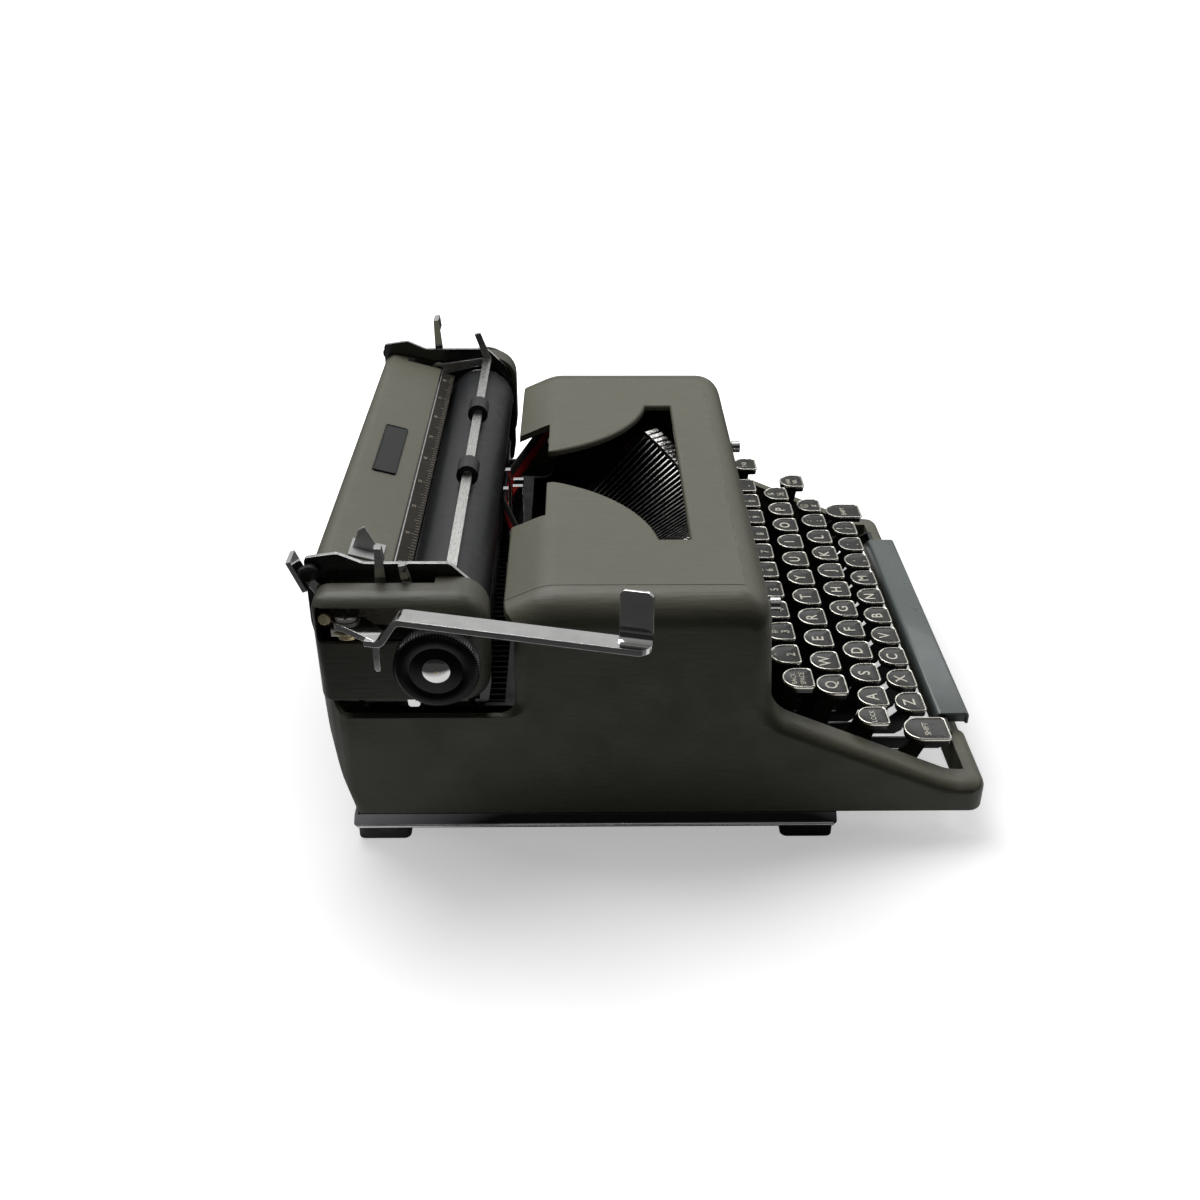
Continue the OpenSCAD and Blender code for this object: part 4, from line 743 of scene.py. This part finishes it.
FIGURES = ("\"2", "#3", "$4", "%5", "_6", "&7", "'8", "(9", ")0", "*-")
ROWS = [
    (-90.25, [pair(*p) for p in FIGURES]),
    (-99.75, [whole(c) for c in "QWERTYUIOP"] + [pair("¼", "½")]),
    (-95.0, [whole(c) for c in "ASDFGHJKL"] + [pair(":", ";"), pair("@", "¢")]),
    (-85.5, [whole(c) for c in "ZXCVBNM"] + [pair(",", ","), pair(".", "."), pair("?", "/")]),
]
H_KEY = (3, 5)


def row_place(row):
    back = len(ROWS) - row
    return FRONT_ROW_Y + back * ROW_STEP_Y, FRONT_ROW_Z + back * ROW_STEP_Z


def make_rows():
    for row, (start, legends) in enumerate(ROWS, 1):
        y, z = row_place(row)
        shape = Shape()
        for i, legend in enumerate(legends):
            x = start + KEY_PITCH * i
            target = Shape() if (row, i) == H_KEY else shape
            add_key(target, x, y, z, KEY_W, KEY_D, legend)
            add_lever(target, x, y, z)
            if (row, i) == H_KEY:
                target.piece("h_key_top", "h_key", "key_plastic", "key_h")
        shape.piece(f"row_{row}_tops", f"row_{row}", "key_plastic", f"keys_row_{row}")


def make_single_keys():
    (y1, z1), (y2, z2), (y3, z3), (y4, z4) = (row_place(row) for row in range(1, 5))
    # Body, CAD node, the key's place, width and depth, its lever's place across, and its legend
    singles = [
        ("left_shift", "shift_left", (-106, y4 - 3, z4, 16.5, 20), -106, lines("SHIFT")),
        ("right_shift", "shift_right", (107, y4 - 3, z4, 16.5, 20), 108, lines("SHIFT")),
        ("backspace", "backspace_key", (-109, y1 - 3, z1, 14.6, KEY_D), -103,
         lines("BACK", "SPACE")),
        ("tabulator", "tab_key", (105.25, y1 - 3, z1 + 1.5, 14.6, KEY_D), 104.25, lines("TAB")),
        ("margin_release", "margin_release_key", (103.3, y2 - 10.5, z2 + 1.5, KEY_W, KEY_D), 100.5,
         lines("MAR", "REL")),
    ]
    for body, cad, place, lever_x, legend in singles:
        shape = Shape()
        add_key(shape, *place, legend)
        add_lever(shape, lever_x, place[1], place[2])
        if body == "left_shift":
            pin = [(1.5, -109.6), (1.5, -106)]
            shape.lathe(pin, "steel", along_x(*LOCK_PIVOT), 16)
        shape.piece(body + "_top", body, "key_plastic", cad)

    # The shift lock turns on a pin of the left shift's lever
    lock = Shape()
    y, z = y3 + 2.5, z3
    add_key(lock, -109.7, y, z, 13, KEY_D, [("LOCK", 3.2, 0)])
    end = LOCK_PIVOT[0] - 3
    arm = [(end, LEVER_LO), (end, LEVER_HI), (y + 8, LEVER_HI), (y + 3, z - KEY_T),
           (y - 3, z - KEY_T), (y + 3, LEVER_LO)]
    lock.prism(arm, "x", -109.2, -108.0, "lever")
    add_ring(lock, 3.7, 1.55, at(-108.6, 0, 0) @ along_x(*LOCK_PIVOT), 0.6, "lever")
    lock.piece("lock_top", "lock", "key_plastic", "shift_lock")


make_rows()
make_single_keys()


# Space bar: a trough with rounded edges, linked at its ends to two arms on the lever shaft
def make_space_bar():
    y0, y1, z0, z1, t, half = -146.0, -131.0, 29.7, 35.7, 1.6, 85.0
    arm_x = 96.7
    roof = z1 - 1.8
    trough = [(y0, z0, 0.5), (y0 + t, z0, 0.5), (y0 + t, roof, 0.4), (y1 - t, roof, 0.4),
              (y1 - t, z0, 0.5), (y1, z0, 0.5), (y1, z1, 2), (y0, z1, 2)]
    ends = [(0.5, 0.0), (0.18, 0.15), (0.0, 0.5)]
    rings = [[(x - half, *p) for p in rounded(trough, d)] for d, x in ends]
    rings += [[(half - x, *p) for p in rounded(trough, d)] for d, x in reversed(ends)]
    shape = Shape().loft(rings, "space")
    rear = y1 - t - 0.4
    front = rear - 2.2
    foot = roof - 3.9
    end = SHAFT[0] - 5
    arm = [(end, LEVER_LO), (end, LEVER_HI), (rear + 5, LEVER_HI), (rear, roof), (front, roof),
           (front, foot), (rear + 3, LEVER_LO)]
    for side in (-1, 1):
        x = side * arm_x
        shape.prism(arm, "x", x - LEVER_T / 2, x + LEVER_T / 2, "lever")
        add_hub(shape, x)
        lo, hi = side_span(side, half - 6, arm_x)
        shape.box((lo, front, foot), (hi, rear, roof), "lever")
        lo, hi = side_span(side, half - 2, half - 0.6)
        shape.box((lo, y0 + t - 0.1, z0 + 0.8), (hi, front - 0.4, roof + 0.1), "space")
    shape.piece("space_bar_top", "space", "space_bar_plastic", "space_bar")


make_space_bar()

# Type basket: bars with bright steel upper edges and sides in black as painted shade, and slugs
# with raised characters
TILT = math.radians(25)
PRINT_Y, PRINT_Z = 69.1, 109
PIVOT_R = 60.9
BAR_L = 65.3
LEAN = math.radians(29.4)
DROP = math.sqrt(BAR_L ** 2 - PIVOT_R ** 2)
BASKET_PLACE = at(0, PRINT_Y + DROP * math.sin(TILT), PRINT_Z - DROP * math.cos(TILT))
BASKET = BASKET_PLACE @ Matrix.Rotation(TILT, 4, "X")
SLUG_TURN = LEAN + math.asin(PIVOT_R / BAR_L) - TILT - math.pi / 2
BAR_DEGREES = 2.24
BAR_STEP = math.radians(BAR_DEGREES)
BARS = 42
FELT_HALF = math.radians(BAR_DEGREES * BARS / 2 + 6) - math.radians(3)
SLUG_PAIRS = ["Qq", "Aa", "Zz", "Ww", "Ss", "Xx", "Ee", "Dd", "Cc", "Rr", "Ff", "Vv", "Tt", "Gg",
              "Bb", "Yy", "Hh", "Nn", "Uu", "Jj", "Mm", "Ii", "Kk", "Oo", "Ll", "Pp"]


def bar_point(s, d):
    """Distance out and height of a point s along a bar and d from its middle."""
    return (PIVOT_R + s * math.sin(LEAN) + d * math.cos(LEAN),
            s * math.cos(LEAN) - d * math.sin(LEAN))


def bar_side(s, d):
    out, up = bar_point(s, d)
    return (-out, up)


def add_bar(shape, i):
    place = BASKET @ Matrix.Rotation((i - BARS / 2) * BAR_STEP, 4, "Z")
    side = [(-1.6, -1.8), (-1.6, 1.8), (30, 1.5), (BAR_L - 3.6, 1.3), (BAR_L - 1.6, -0.4),
            (BAR_L - 5, -1.6), (30, -1.5)]
    # The bar's sides take the black lever finish, standing in for the shade among the close-set
    # bars: painted shade. A steel strip runs along its upper edge.
    shape.prism([bar_side(*p) for p in side], "x", -0.6, 0.6, "lever", place)
    steel_edge = [(0, -1.86), (0, -1.6), (30, -1.4), (BAR_L - 5, -1.5), (BAR_L - 5, -1.7), (30, -1.58)]
    shape.prism([bar_side(*p) for p in steel_edge], "x", -0.28, 0.28, "type_edge", place)
    out, up = bar_point(BAR_L, 0)
    slug = place @ at(0, -out, up) @ Matrix.Rotation(SLUG_TURN, 4, "X")
    section = block(-1.5, -4.5, 1.5, 4.5, 0.5)
    bands = ((0, -3), (0, -0.5), (0.35, -0.1))
    rings = [[(*p, h) for p in rounded(section, inset, 2)] for inset, h in bands]
    shape.loft(rings, "type_edge", slug)
    about = Matrix.Rotation(math.pi, 4, "Z")
    for letter, y in zip(SLUG_PAIRS[i % len(SLUG_PAIRS)], (2.2, -2.2)):
        shape.text(letter, 3.4, "type_face", slug @ at(0, y, 0) @ about, 0.12)
    return place


def make_type_bars():
    shape = Shape()
    for i in range(BARS):
        if i == BARS // 2:
            single = Shape()
            place = add_bar(single, i)
            pivot = place @ at(0, -PIVOT_R, 0) @ Matrix.Rotation(math.pi / 2, 4, "Y")
            add_ring(single, 2.6, 1.05, pivot, 0.6, "type_edge")
            single.piece("h_bar_steel", "bar_h", "steel", "typebar_h")
        else:
            add_bar(shape, i)
    shape.piece("type_bars_steel", "basket", "steel", "typebars")


def bulge(value, power):
    return math.copysign(abs(value) ** power, value)


# The felt pad that the bars rest on, crowned along its length
def make_felt():
    steps, sides = 60, 14
    along, below = 50, 3.65
    half_width, half_height, wave = 3.9, 1.28, 0.01
    rings = []
    for k in range(steps + 1):
        t = -FELT_HALF + 2 * FELT_HALF * k / steps
        squeeze = min(1.0, 0.55 + 0.45 * min(k, steps - k) / 2)
        height = half_height * squeeze + wave * math.sin(9 * k)
        ring = []
        for j in range(sides):
            a = 2 * math.pi * j / sides
            s = along + half_width * squeeze * bulge(math.cos(a), 0.6)
            d = below + height * bulge(math.sin(a), 0.7)
            out, up = bar_point(s, d)
            ring.append((out * math.sin(t), -out * math.cos(t), up))
        rings.append(ring)
    pad = Shape().loft(rings, "felt", BASKET)
    felt = pad.piece("rest_felt", "basket", "felt", "typebar_rest", sharp=60)


make_type_bars()
make_felt()


# The ribbon, stretched from spool to spool past the print point
def make_ribbon():
    route = [(-93, 48.425), (-14, 69.625), (14, 69.625), (93, 48.425)]
    z0, z1 = 99.0, 112.0
    thickness = 0.16
    columns, rows = 24, 6
    points = []
    for (xa, ya), (xb, yb) in zip(route, route[1:]):
        for k in range(columns):
            points.append((xa + (xb - xa) * k / columns, ya + (yb - ya) * k / columns))
    points.append(route[-1])
    verts = []
    for x, y in points:
        for j in range(rows + 1):
            verts.append((x, y, z0 + (z1 - z0) * j / rows))
    faces = []
    for i in range(len(points) - 1):
        for j in range(rows):
            a = i * (rows + 1) + j
            faces.append((a, a + rows + 1, a + rows + 2, a + 1))
    ob = Shape().add(verts, faces, "ribbon").build("ribbon_strip", 60)
    solid = ob.modifiers.new("cloth_thickness", "SOLIDIFY")
    solid.thickness = thickness * MM
    solid.offset = 0
    settle(ob, "base", "ribbon_cloth", "ribbon")


make_ribbon()

# Carriage ends: painted caps and knurled knobs
END_IN = 123.0
END_OUT = 143.0
END_OUTLINE = [(69.6, 84, 8), (137, 84, 3), (138.5, 131, 7), (69.6, 131, 13)]
END_EDGES = [1.5, 5, 9, 8]
END_WALL = 2
END_BORE = 7.5
PLATEN = (88.5, 108.7)
# Knob profiles: radius, and distance out from the middle of the machine
KNOB_BACK = [(0, 144.2), (8, 144.2), (9.4, 146), (12.4, 150.4), (13.2, 151.2)]
KNOB_RIM = [(15.4, 150.9), (16.5, 151.3), (16.7, 151.9), (16.7, 156.6), (16.4, 157.2),
            (15.7, 157.5)]
KNOB_FACE = [(15.8, 157.3), (15.3, 157.8), (14, 158), (11.6, 157.9), (10.6, 157.6), (10.1, 157.0),
             (9.8, 156.0), (9.5, 154.2), (8.8, 153.6), (7.9, 153.8), (7.3, 154.4), (7, 154.9),
             (6.7, 155.2)]
KNOB_DOME = [(6.6, 155.6), (6.5, 156.4), (6, 157.1), (4.9, 157.8), (3.3, 158.2), (1.7, 158.4),
             (0.8, 158.43)]
KNOB_TIP = [(0.7, 158.5), (0, 158.5)]
KNOB_LOOKS = (["knob"] * (len(KNOB_FACE) - 1) + ["chrome"] * len(KNOB_DOME)
              + ["brass"] * len(KNOB_TIP))
KNURLS = 84
KNURL_DEPTH = 0.42


def end_word(side):
    return "left" if side < 0 else "right"


def end_form(side, d, x_in):
    outline = inset_outline(END_OUTLINE, d) if d else END_OUTLINE
    rings = edge_rings(outline, [max(0.5, e - d) for e in END_EDGES], END_OUT - d)
    rings = [[(x_in, y, z) for _, y, z in rings[0]]] + rings
    return Shape().loft([[(side * x, y, z) for x, y, z in r] for r in rings], "paint_end")


def make_cap(side):
    cap = end_form(side, 0, END_IN).build("cap")
    cut(cap, end_form(side, END_WALL, END_IN - 3))
    bore = [(END_BORE, END_IN - 2), (END_BORE, END_OUT + 2)]
    cut(cap, Shape().lathe(bore, "paint_end", along_x(*PLATEN, side)))
    lo, hi = side_span(side, END_IN - 1, END_IN + 5.6)
    cut_box(cap, (lo, 90.5, 110.7), (hi, 141, 134), look="paint_end")
    if side < 0:
        outline = rounded(block(98, 112, 136, 127, 1.2), 0, 4)
        window = [[(x, *p) for p in outline] for x in side_span(side, 130.5, END_OUT + 2)]
        cut(cap, Shape().loft(window, "paint_end"))
    cap.name = f"end_cap_{end_word(side)}"
    even_normals(cap)
    settle(cap, "carriage", "hood_paint", f"end_cover_{end_word(side)}")


def make_knob(side):
    knob = Shape()
    place = along_x(*PLATEN, side)
    knob.lathe(KNOB_BACK, "knob", place)
    rings = []
    for r, h in KNOB_RIM:
        ring = []
        for i in range(4 * KNURLS):
            t = 2 * math.pi * i / (4 * KNURLS)
            dip = KNURL_DEPTH if i % 4 in (0, 1) and r > 16 else 0.0
            ring.append(((r - dip) * math.cos(t), (r - dip) * math.sin(t), h))
        rings.append(ring)
    knob.loft(rings, "knob", place)
    knob.lathe(KNOB_FACE + KNOB_DOME + KNOB_TIP, KNOB_LOOKS, place, 96)
    word = end_word(side)
    knob.piece(f"knob_{word}", "platen", "knob_plastic", f"platen_knob_{word}", sharp=24)


for end in (-1, 1):
    make_cap(end)
    make_knob(end)


# Small parts at the carriage ends: the left cap's fittings, the lever's hook and the rubber rests
def make_end_details():
    parts = Shape()
    washers = ((116.9, 6.6, 0.8, "brass"), (117.8, 5.6, 0.5, "steel"), (114.2, 5.2, 1.4, "brass"))
    for z, r, h, look in washers:
        parts.lathe(disc(r, z, z + h), look, at(-139, 124, 0), 32)
    pin_place = along_x(132.6, 121.8, -1)
    pin = [(0, 126), (2.6, 126), (3.0, 127), (3.0, 139.5), (2.4, 141), (0, 141)]
    parts.lathe(pin, "brass", pin_place, 24)
    parts.lathe(disc(4.2, 126, 128.4), "steel", pin_place, 24)
    parts.box((-141, 99, 112.4), (-131, 118, 113.6), "dark_steel")
    parts.box((-131.4, 99, 113), (-130.6, 135, 126), "cadmium")
    tab = [(98.6, 84), (105, 84), (104.2, 75), (103.4, 74.2), (100.2, 74.2), (99.4, 75)]
    parts.prism(tab, "x", -132.2, -131.2, "chrome")
    parts.box((-132.2, 99.6, 83.4), (-124, 104.2, 84.6), "steel")
    parts.piece("end_fittings", "carriage", "steel")

    blade = [(109.6, 120.4), (109.8, 117.5), (110.7, 113.8), (110.8, 104.6), (112.2, 104.2),
             (113, 105.4), (113.2, 114.5), (112.4, 120.4)]
    hook = Shape().prism(blade, "x", -151, -148.4, "chrome")
    hook.piece("lever_hook", "lever", "steel")

    pads = Shape()
    rest = [(0, 122.4), (3.4, 122.4), (3.6, 123.4), (3.4, 126), (2.2, 126.8), (0, 126.8)]
    for side in (-1, 1):
        pads.lathe(rest, "foot_rubber", along_x(139.6, 133.4, side), 28)
    pads.piece("rest_pads", "carriage", "soft_rubber")


make_end_details()

# Paper table with a rounded rear edge, its bare plate, and the marks on the paper scale, with a
# painted highlight and a painted shadow strip along the scale's rear edge
TABLE_FRONT = (110.5, 126.8)
TABLE_REAR = (141.0, 135.0)
TABLE_FOOT = (142.2, 120)
TABLE_T = 1.6
TABLE_HALF = 116
TABLE_TILT = math.atan2(TABLE_REAR[1] - TABLE_FRONT[1], TABLE_REAR[0] - TABLE_FRONT[0])
PLATE_OUTLINE = block(-26, 8.2, 26, 19.4, 1.4)
PLATE_BANDS = ((0, -0.3), (0, 0.7), (0.2, 0.9), (0.6, 0.9), (0.8, 0.55))
SCALE_TILT = math.atan2(2.4, 7.8)
INCH = 25.4
PICA = 2.54


def table_profile(start_y):
    start_z = TABLE_FRONT[1] + (start_y - TABLE_FRONT[0]) * math.tan(TABLE_TILT)
    start = (start_y, start_z)
    rear = (TABLE_REAR[0] + 0.6, TABLE_REAR[1] + 0.1, 6)
    over = corner_points(TABLE_FOOT, rear, start, 0, 0, 10)
    under = corner_points(TABLE_FOOT, rear, start, TABLE_T, TABLE_T, 10)
    return [TABLE_FOOT, *map(tuple, over), start,
            (start_y + 0.4, start_z - TABLE_T), *map(tuple, reversed(under)),
            (TABLE_FOOT[0] - TABLE_T, TABLE_FOOT[1])]


def make_table():
    shape = Shape()
    profile = table_profile(TABLE_FRONT[0])
    shape.prism(profile, "x", -TABLE_HALF, TABLE_HALF, "paint_table")
    for side in (-1, 1):
        lo, hi = side_span(side, TABLE_HALF, TABLE_HALF + 5)
        shape.prism(table_profile(128.5), "x", lo, hi, "paint_table")
    shape.piece("table_sheet", "carriage", "hood_paint", "paper_table")

    on_table = at(0, *TABLE_FRONT) @ Matrix.Rotation(TABLE_TILT, 4, "X")
    rings = [[(*p, h) for p in rounded(PLATE_OUTLINE, inset, 4)] for inset, h in PLATE_BANDS]
    plate = Shape().loft(rings, "plate", on_table)
    plate.piece("bare_plate", "carriage", "steel", "name_plate")


def make_scale_marks_and_painted_edge():
    on_scale = at(0, 102.7, 124.2) @ Matrix.Rotation(SCALE_TILT, 4, "X")
    half_line = 0.16
    marks = Shape()
    for i in range(-42, 43):
        x = i * PICA
        end = 3.4 if i % 5 == 0 else 2.2
        marks.box((x - half_line, 0.4, 0.0), (x + half_line, end, 0.09), "scale_mark", on_scale)
    for i in range(-4, 5):
        number = str(10 * (i + 4))
        marks.text(number, 2.6, "scale_mark", on_scale @ at(i * INCH, 5.0, 0.06), 0.05)
    # A bright steel strip stands in for the highlight on the scale's raised rear edge (painted
    # highlight), and the black strip behind it for the shadowed gap at the table's front edge
    # (painted shade).
    marks.box((-TABLE_HALF, 6.9, 0), (TABLE_HALF, 7.4, 0.16), "steel", on_scale)
    marks.box((-TABLE_HALF, 7.4, 0), (TABLE_HALF, 8.1, 0.1), "enamel", on_scale)
    marks.piece("scale_marks_and_painted_edge", "carriage", "steel")


def make_platen_rings():
    trims = Shape()
    ring = [(14, 117.05), (17.3, 117.05), (17.3, 118.2), (16.6, 118.5), (14, 118.5)]
    for side in (-1, 1):
        trims.lathe(ring, "chrome", along_x(*PLATEN, side), 64)
    trims.piece("platen_rings", "platen", "steel")


make_table()
make_scale_marks_and_painted_edge()
make_platen_rings()


# Turned lower edge of the chrome side rails
def make_rail_edges():
    x, z, r = 128.55, 7.5, 0.95
    shape = Shape()
    for side in (-1, 1):
        angles = [k * math.pi / 6 for k in range(12)]
        turned = [(side * x + r * math.cos(t), z + r * math.sin(t)) for t in angles]
        shape.prism(turned, "y", -78.4, 131.9, "chrome")
    shape.piece("rail_edges", "base", "chrome_trim", sharp=50)


make_rail_edges()

# CAD nodes that keep their own shape: their materials, and the widths of their edges
LOOK_NODES = {
    "casting": ["base_frame", "type_segment", "lever_comb"],
    "enamel": ["carriage_frame", "ribbon_cups", "ribbon_spool_left", "ribbon_spool_right"],
    "rail": ["side_rails"],
    "foot_rubber": ["rubber_feet"],
    "steel": ["lever_shaft", "carriage_rails", "hinge_pins", "margin_rack", "margin_stop_left",
              "margin_stop_right", "platen_ratchet", "paper_bail", "mainspring_drum"],
    "chrome": ["type_guide", "ribbon_vibrator", "colour_selector", "touch_lever", "return_lever",
               "carriage_release", "margin_set_lever", "paper_release_lever",
               "line_space_selector"],
    "rubber": ["platen_rubber", "feed_roller_front", "feed_roller_rear", "bail_rollers"],
    "scale": ["paper_scale"],
    "pale_for_chrome": ["paper_guide"],
    "wood": ["platen_core"],
    "nickel": ["return_lever_screw"],
    "brass": ["bell"],
}
EDGE_NODES = {
    0.6: ["side_rails", "rubber_feet", "return_lever", "bail_rollers"],
    0.5: ["platen_rubber"],
    0.4: ["carriage_frame", "colour_selector", "touch_lever"],
    0.35: ["margin_set_lever", "line_space_selector", "paper_release_lever", "carriage_release"],
    0.3: ["paper_bail", "return_lever_screw", "ribbon_spool_left", "ribbon_spool_right",
          "type_guide"],
    0.2: ["paper_guide", "ribbon_vibrator"],
    0.15: ["paper_scale"],
}
LOOK = {name: look for look, names in LOOK_NODES.items() for name in names}
EDGE = {name: width for width, names in EDGE_NODES.items() for name in names}
BRIGHT_EDGE = {"carriage_frame": "edge", "side_rails": "chrome"}
# The carriage's end plates start this far out, and above this height their edges take bright metal
# as a painted highlight
END_PLATE_X = 0.1205
END_PLATE_Z = 0.1


def brighten_end_plates(ob):
    for face in ob.data.polygons:
        middle = ob.matrix_world @ face.center
        outside = abs(middle.x) > END_PLATE_X and middle.z > END_PLATE_Z
        if outside and abs(face.normal.x) < 0.5:
            face.material_index = 1


def dress(name, ob):
    ob.data.materials.clear()
    ob.data.materials.append(MAT[LOOK.get(name, "casting")])
    smooth(ob.data)
    if name not in EDGE:
        return
    bevel = ob.modifiers.new("edge", "BEVEL")
    bevel.width = EDGE[name] * MM
    bevel.segments = 2
    bevel.limit_method = "ANGLE"
    bevel.angle_limit = math.radians(38)
    # The carriage frame's bevels take the bright edge metal as a painted highlight; the side
    # rails' bevels take chrome.
    if name in BRIGHT_EDGE:
        ob.data.materials.append(MAT[BRIGHT_EDGE[name]])
        bevel.material = 1
    if name == "carriage_frame":
        brighten_end_plates(ob)


for name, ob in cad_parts.items():
    dress(name, ob)


# Pale floor, white surroundings and soft lamps
def ray_share(nt, *kinds):
    path = node(nt, "ShaderNodeLightPath")
    share = path.outputs[kinds[0]]
    for kind in kinds[1:]:
        share = math_node(nt, "MAXIMUM", share, path.outputs[kind])
    return share


def mix_shader(nt, fac, a, b):
    mix = node(nt, "ShaderNodeMixShader")
    nt.links.new(fac, mix.inputs[0])
    nt.links.new(a.outputs[0], mix.inputs[1])
    nt.links.new(b.outputs[0], mix.inputs[2])
    return mix


def diffuse(nt, grey):
    shader = node(nt, "ShaderNodeBsdfDiffuse")
    shader.inputs["Color"].default_value = (grey, grey, grey, 1)
    return shader


FLOOR_HALF = 6


def make_floor():
    s = FLOOR_HALF
    mesh = bpy.data.meshes.new("floor")
    mesh.from_pydata([(-s, -s, 0), (s, -s, 0), (s, s, 0), (-s, s, 0)], [], [(0, 1, 2, 3)])
    floor = bpy.data.objects.new("floor", mesh)
    scene.collection.objects.link(floor)
    m = bpy.data.materials.new("floor")
    m.use_nodes = True
    nt = m.node_tree
    nt.nodes.clear()
    length = node(nt, "ShaderNodeVectorMath", operation="LENGTH")
    nt.links.new(node(nt, "ShaderNodeTexCoord").outputs["Object"], length.inputs[0])
    away = length.outputs["Value"]

    # Lit floor, which turns white away from the object
    glow = node(nt, "ShaderNodeEmission")
    nt.links.new(span(nt, away, 0.42, 1.0, 0.15, 0.33), glow.inputs["Strength"])
    bare = node(nt, "ShaderNodeAddShader")
    nt.links.new(diffuse(nt, 0.86).outputs[0], bare.inputs[0])
    nt.links.new(glow.outputs[0], bare.inputs[1])

    # What metal mirrors of it is a painted reflection: dark close round the object as a painted
    # shadow, bright in a ring beyond, dark further out; and what other rays meet
    painted_reflection = node(nt, "ShaderNodeEmission")
    begin = span(nt, away, 0.02, 0.75, 0.16, 0.2)
    end = span(nt, away, 1.0, 0.06, 0.27, 0.35)
    nt.links.new(math_node(nt, "MULTIPLY", begin, end), painted_reflection.inputs["Strength"])
    seen = mix_shader(nt, ray_share(nt, "Is Glossy Ray"), bare, painted_reflection)
    shown = ray_share(nt, "Is Camera Ray", "Is Glossy Ray", "Is Transmission Ray")
    mix = mix_shader(nt, shown, diffuse(nt, 0.05), seen)
    out = node(nt, "ShaderNodeOutputMaterial")
    nt.links.new(mix.outputs[0], out.inputs["Surface"])
    mesh.materials.append(m)


def make_world():
    world = bpy.data.worlds.new("studio")
    scene.world = world
    world.use_nodes = True
    nt = world.node_tree
    nt.nodes.clear()
    white = node(nt, "ShaderNodeBackground")
    white.inputs["Strength"].default_value = 1.0
    axes = node(nt, "ShaderNodeSeparateXYZ")
    nt.links.new(node(nt, "ShaderNodeTexCoord").outputs["Generated"], axes.inputs["Vector"])
    wall = span(nt, axes.outputs["X"], 0.02, 0.62, -0.2, 0.85)
    ceiling = span(nt, axes.outputs["Z"], 0.0, 0.3, 0.62, 0.9)
    room = node(nt, "ShaderNodeBackground")
    nt.links.new(math_node(nt, "MAXIMUM", wall, ceiling), room.inputs["Strength"])
    low = node(nt, "ShaderNodeBackground")
    low.inputs["Strength"].default_value = 0.045
    other = mix_shader(nt, ray_share(nt, "Is Glossy Ray"), low, room)
    shown = ray_share(nt, "Is Camera Ray", "Is Transmission Ray")
    mix = mix_shader(nt, shown, other, white)
    out = node(nt, "ShaderNodeOutputWorld")
    nt.links.new(mix.outputs[0], out.inputs["Surface"])


def lamp(name, place, aim, size, power):
    data = bpy.data.lights.new(name, "AREA")
    data.shape = "RECTANGLE"
    data.size, data.size_y = size
    data.energy = power
    ob = bpy.data.objects.new(name, data)
    ob.location = place
    ob.rotation_euler = (Vector(aim) - Vector(place)).to_track_quat("-Z", "Y").to_euler()
    scene.collection.objects.link(ob)


make_floor()
make_world()
lamp("overhead", (0.5, 0.35, 1.3), (0, 0, 0.08), (1.0, 1.0), 13)
lamp("behind", (0.9, -0.5, 1.1), (0, 0, 0.1), (0.6, 0.6), 2.5)
lamp("front", (0.5, -1.1, 0.9), (0, -0.05, 0.08), (0.8, 0.6), 2)
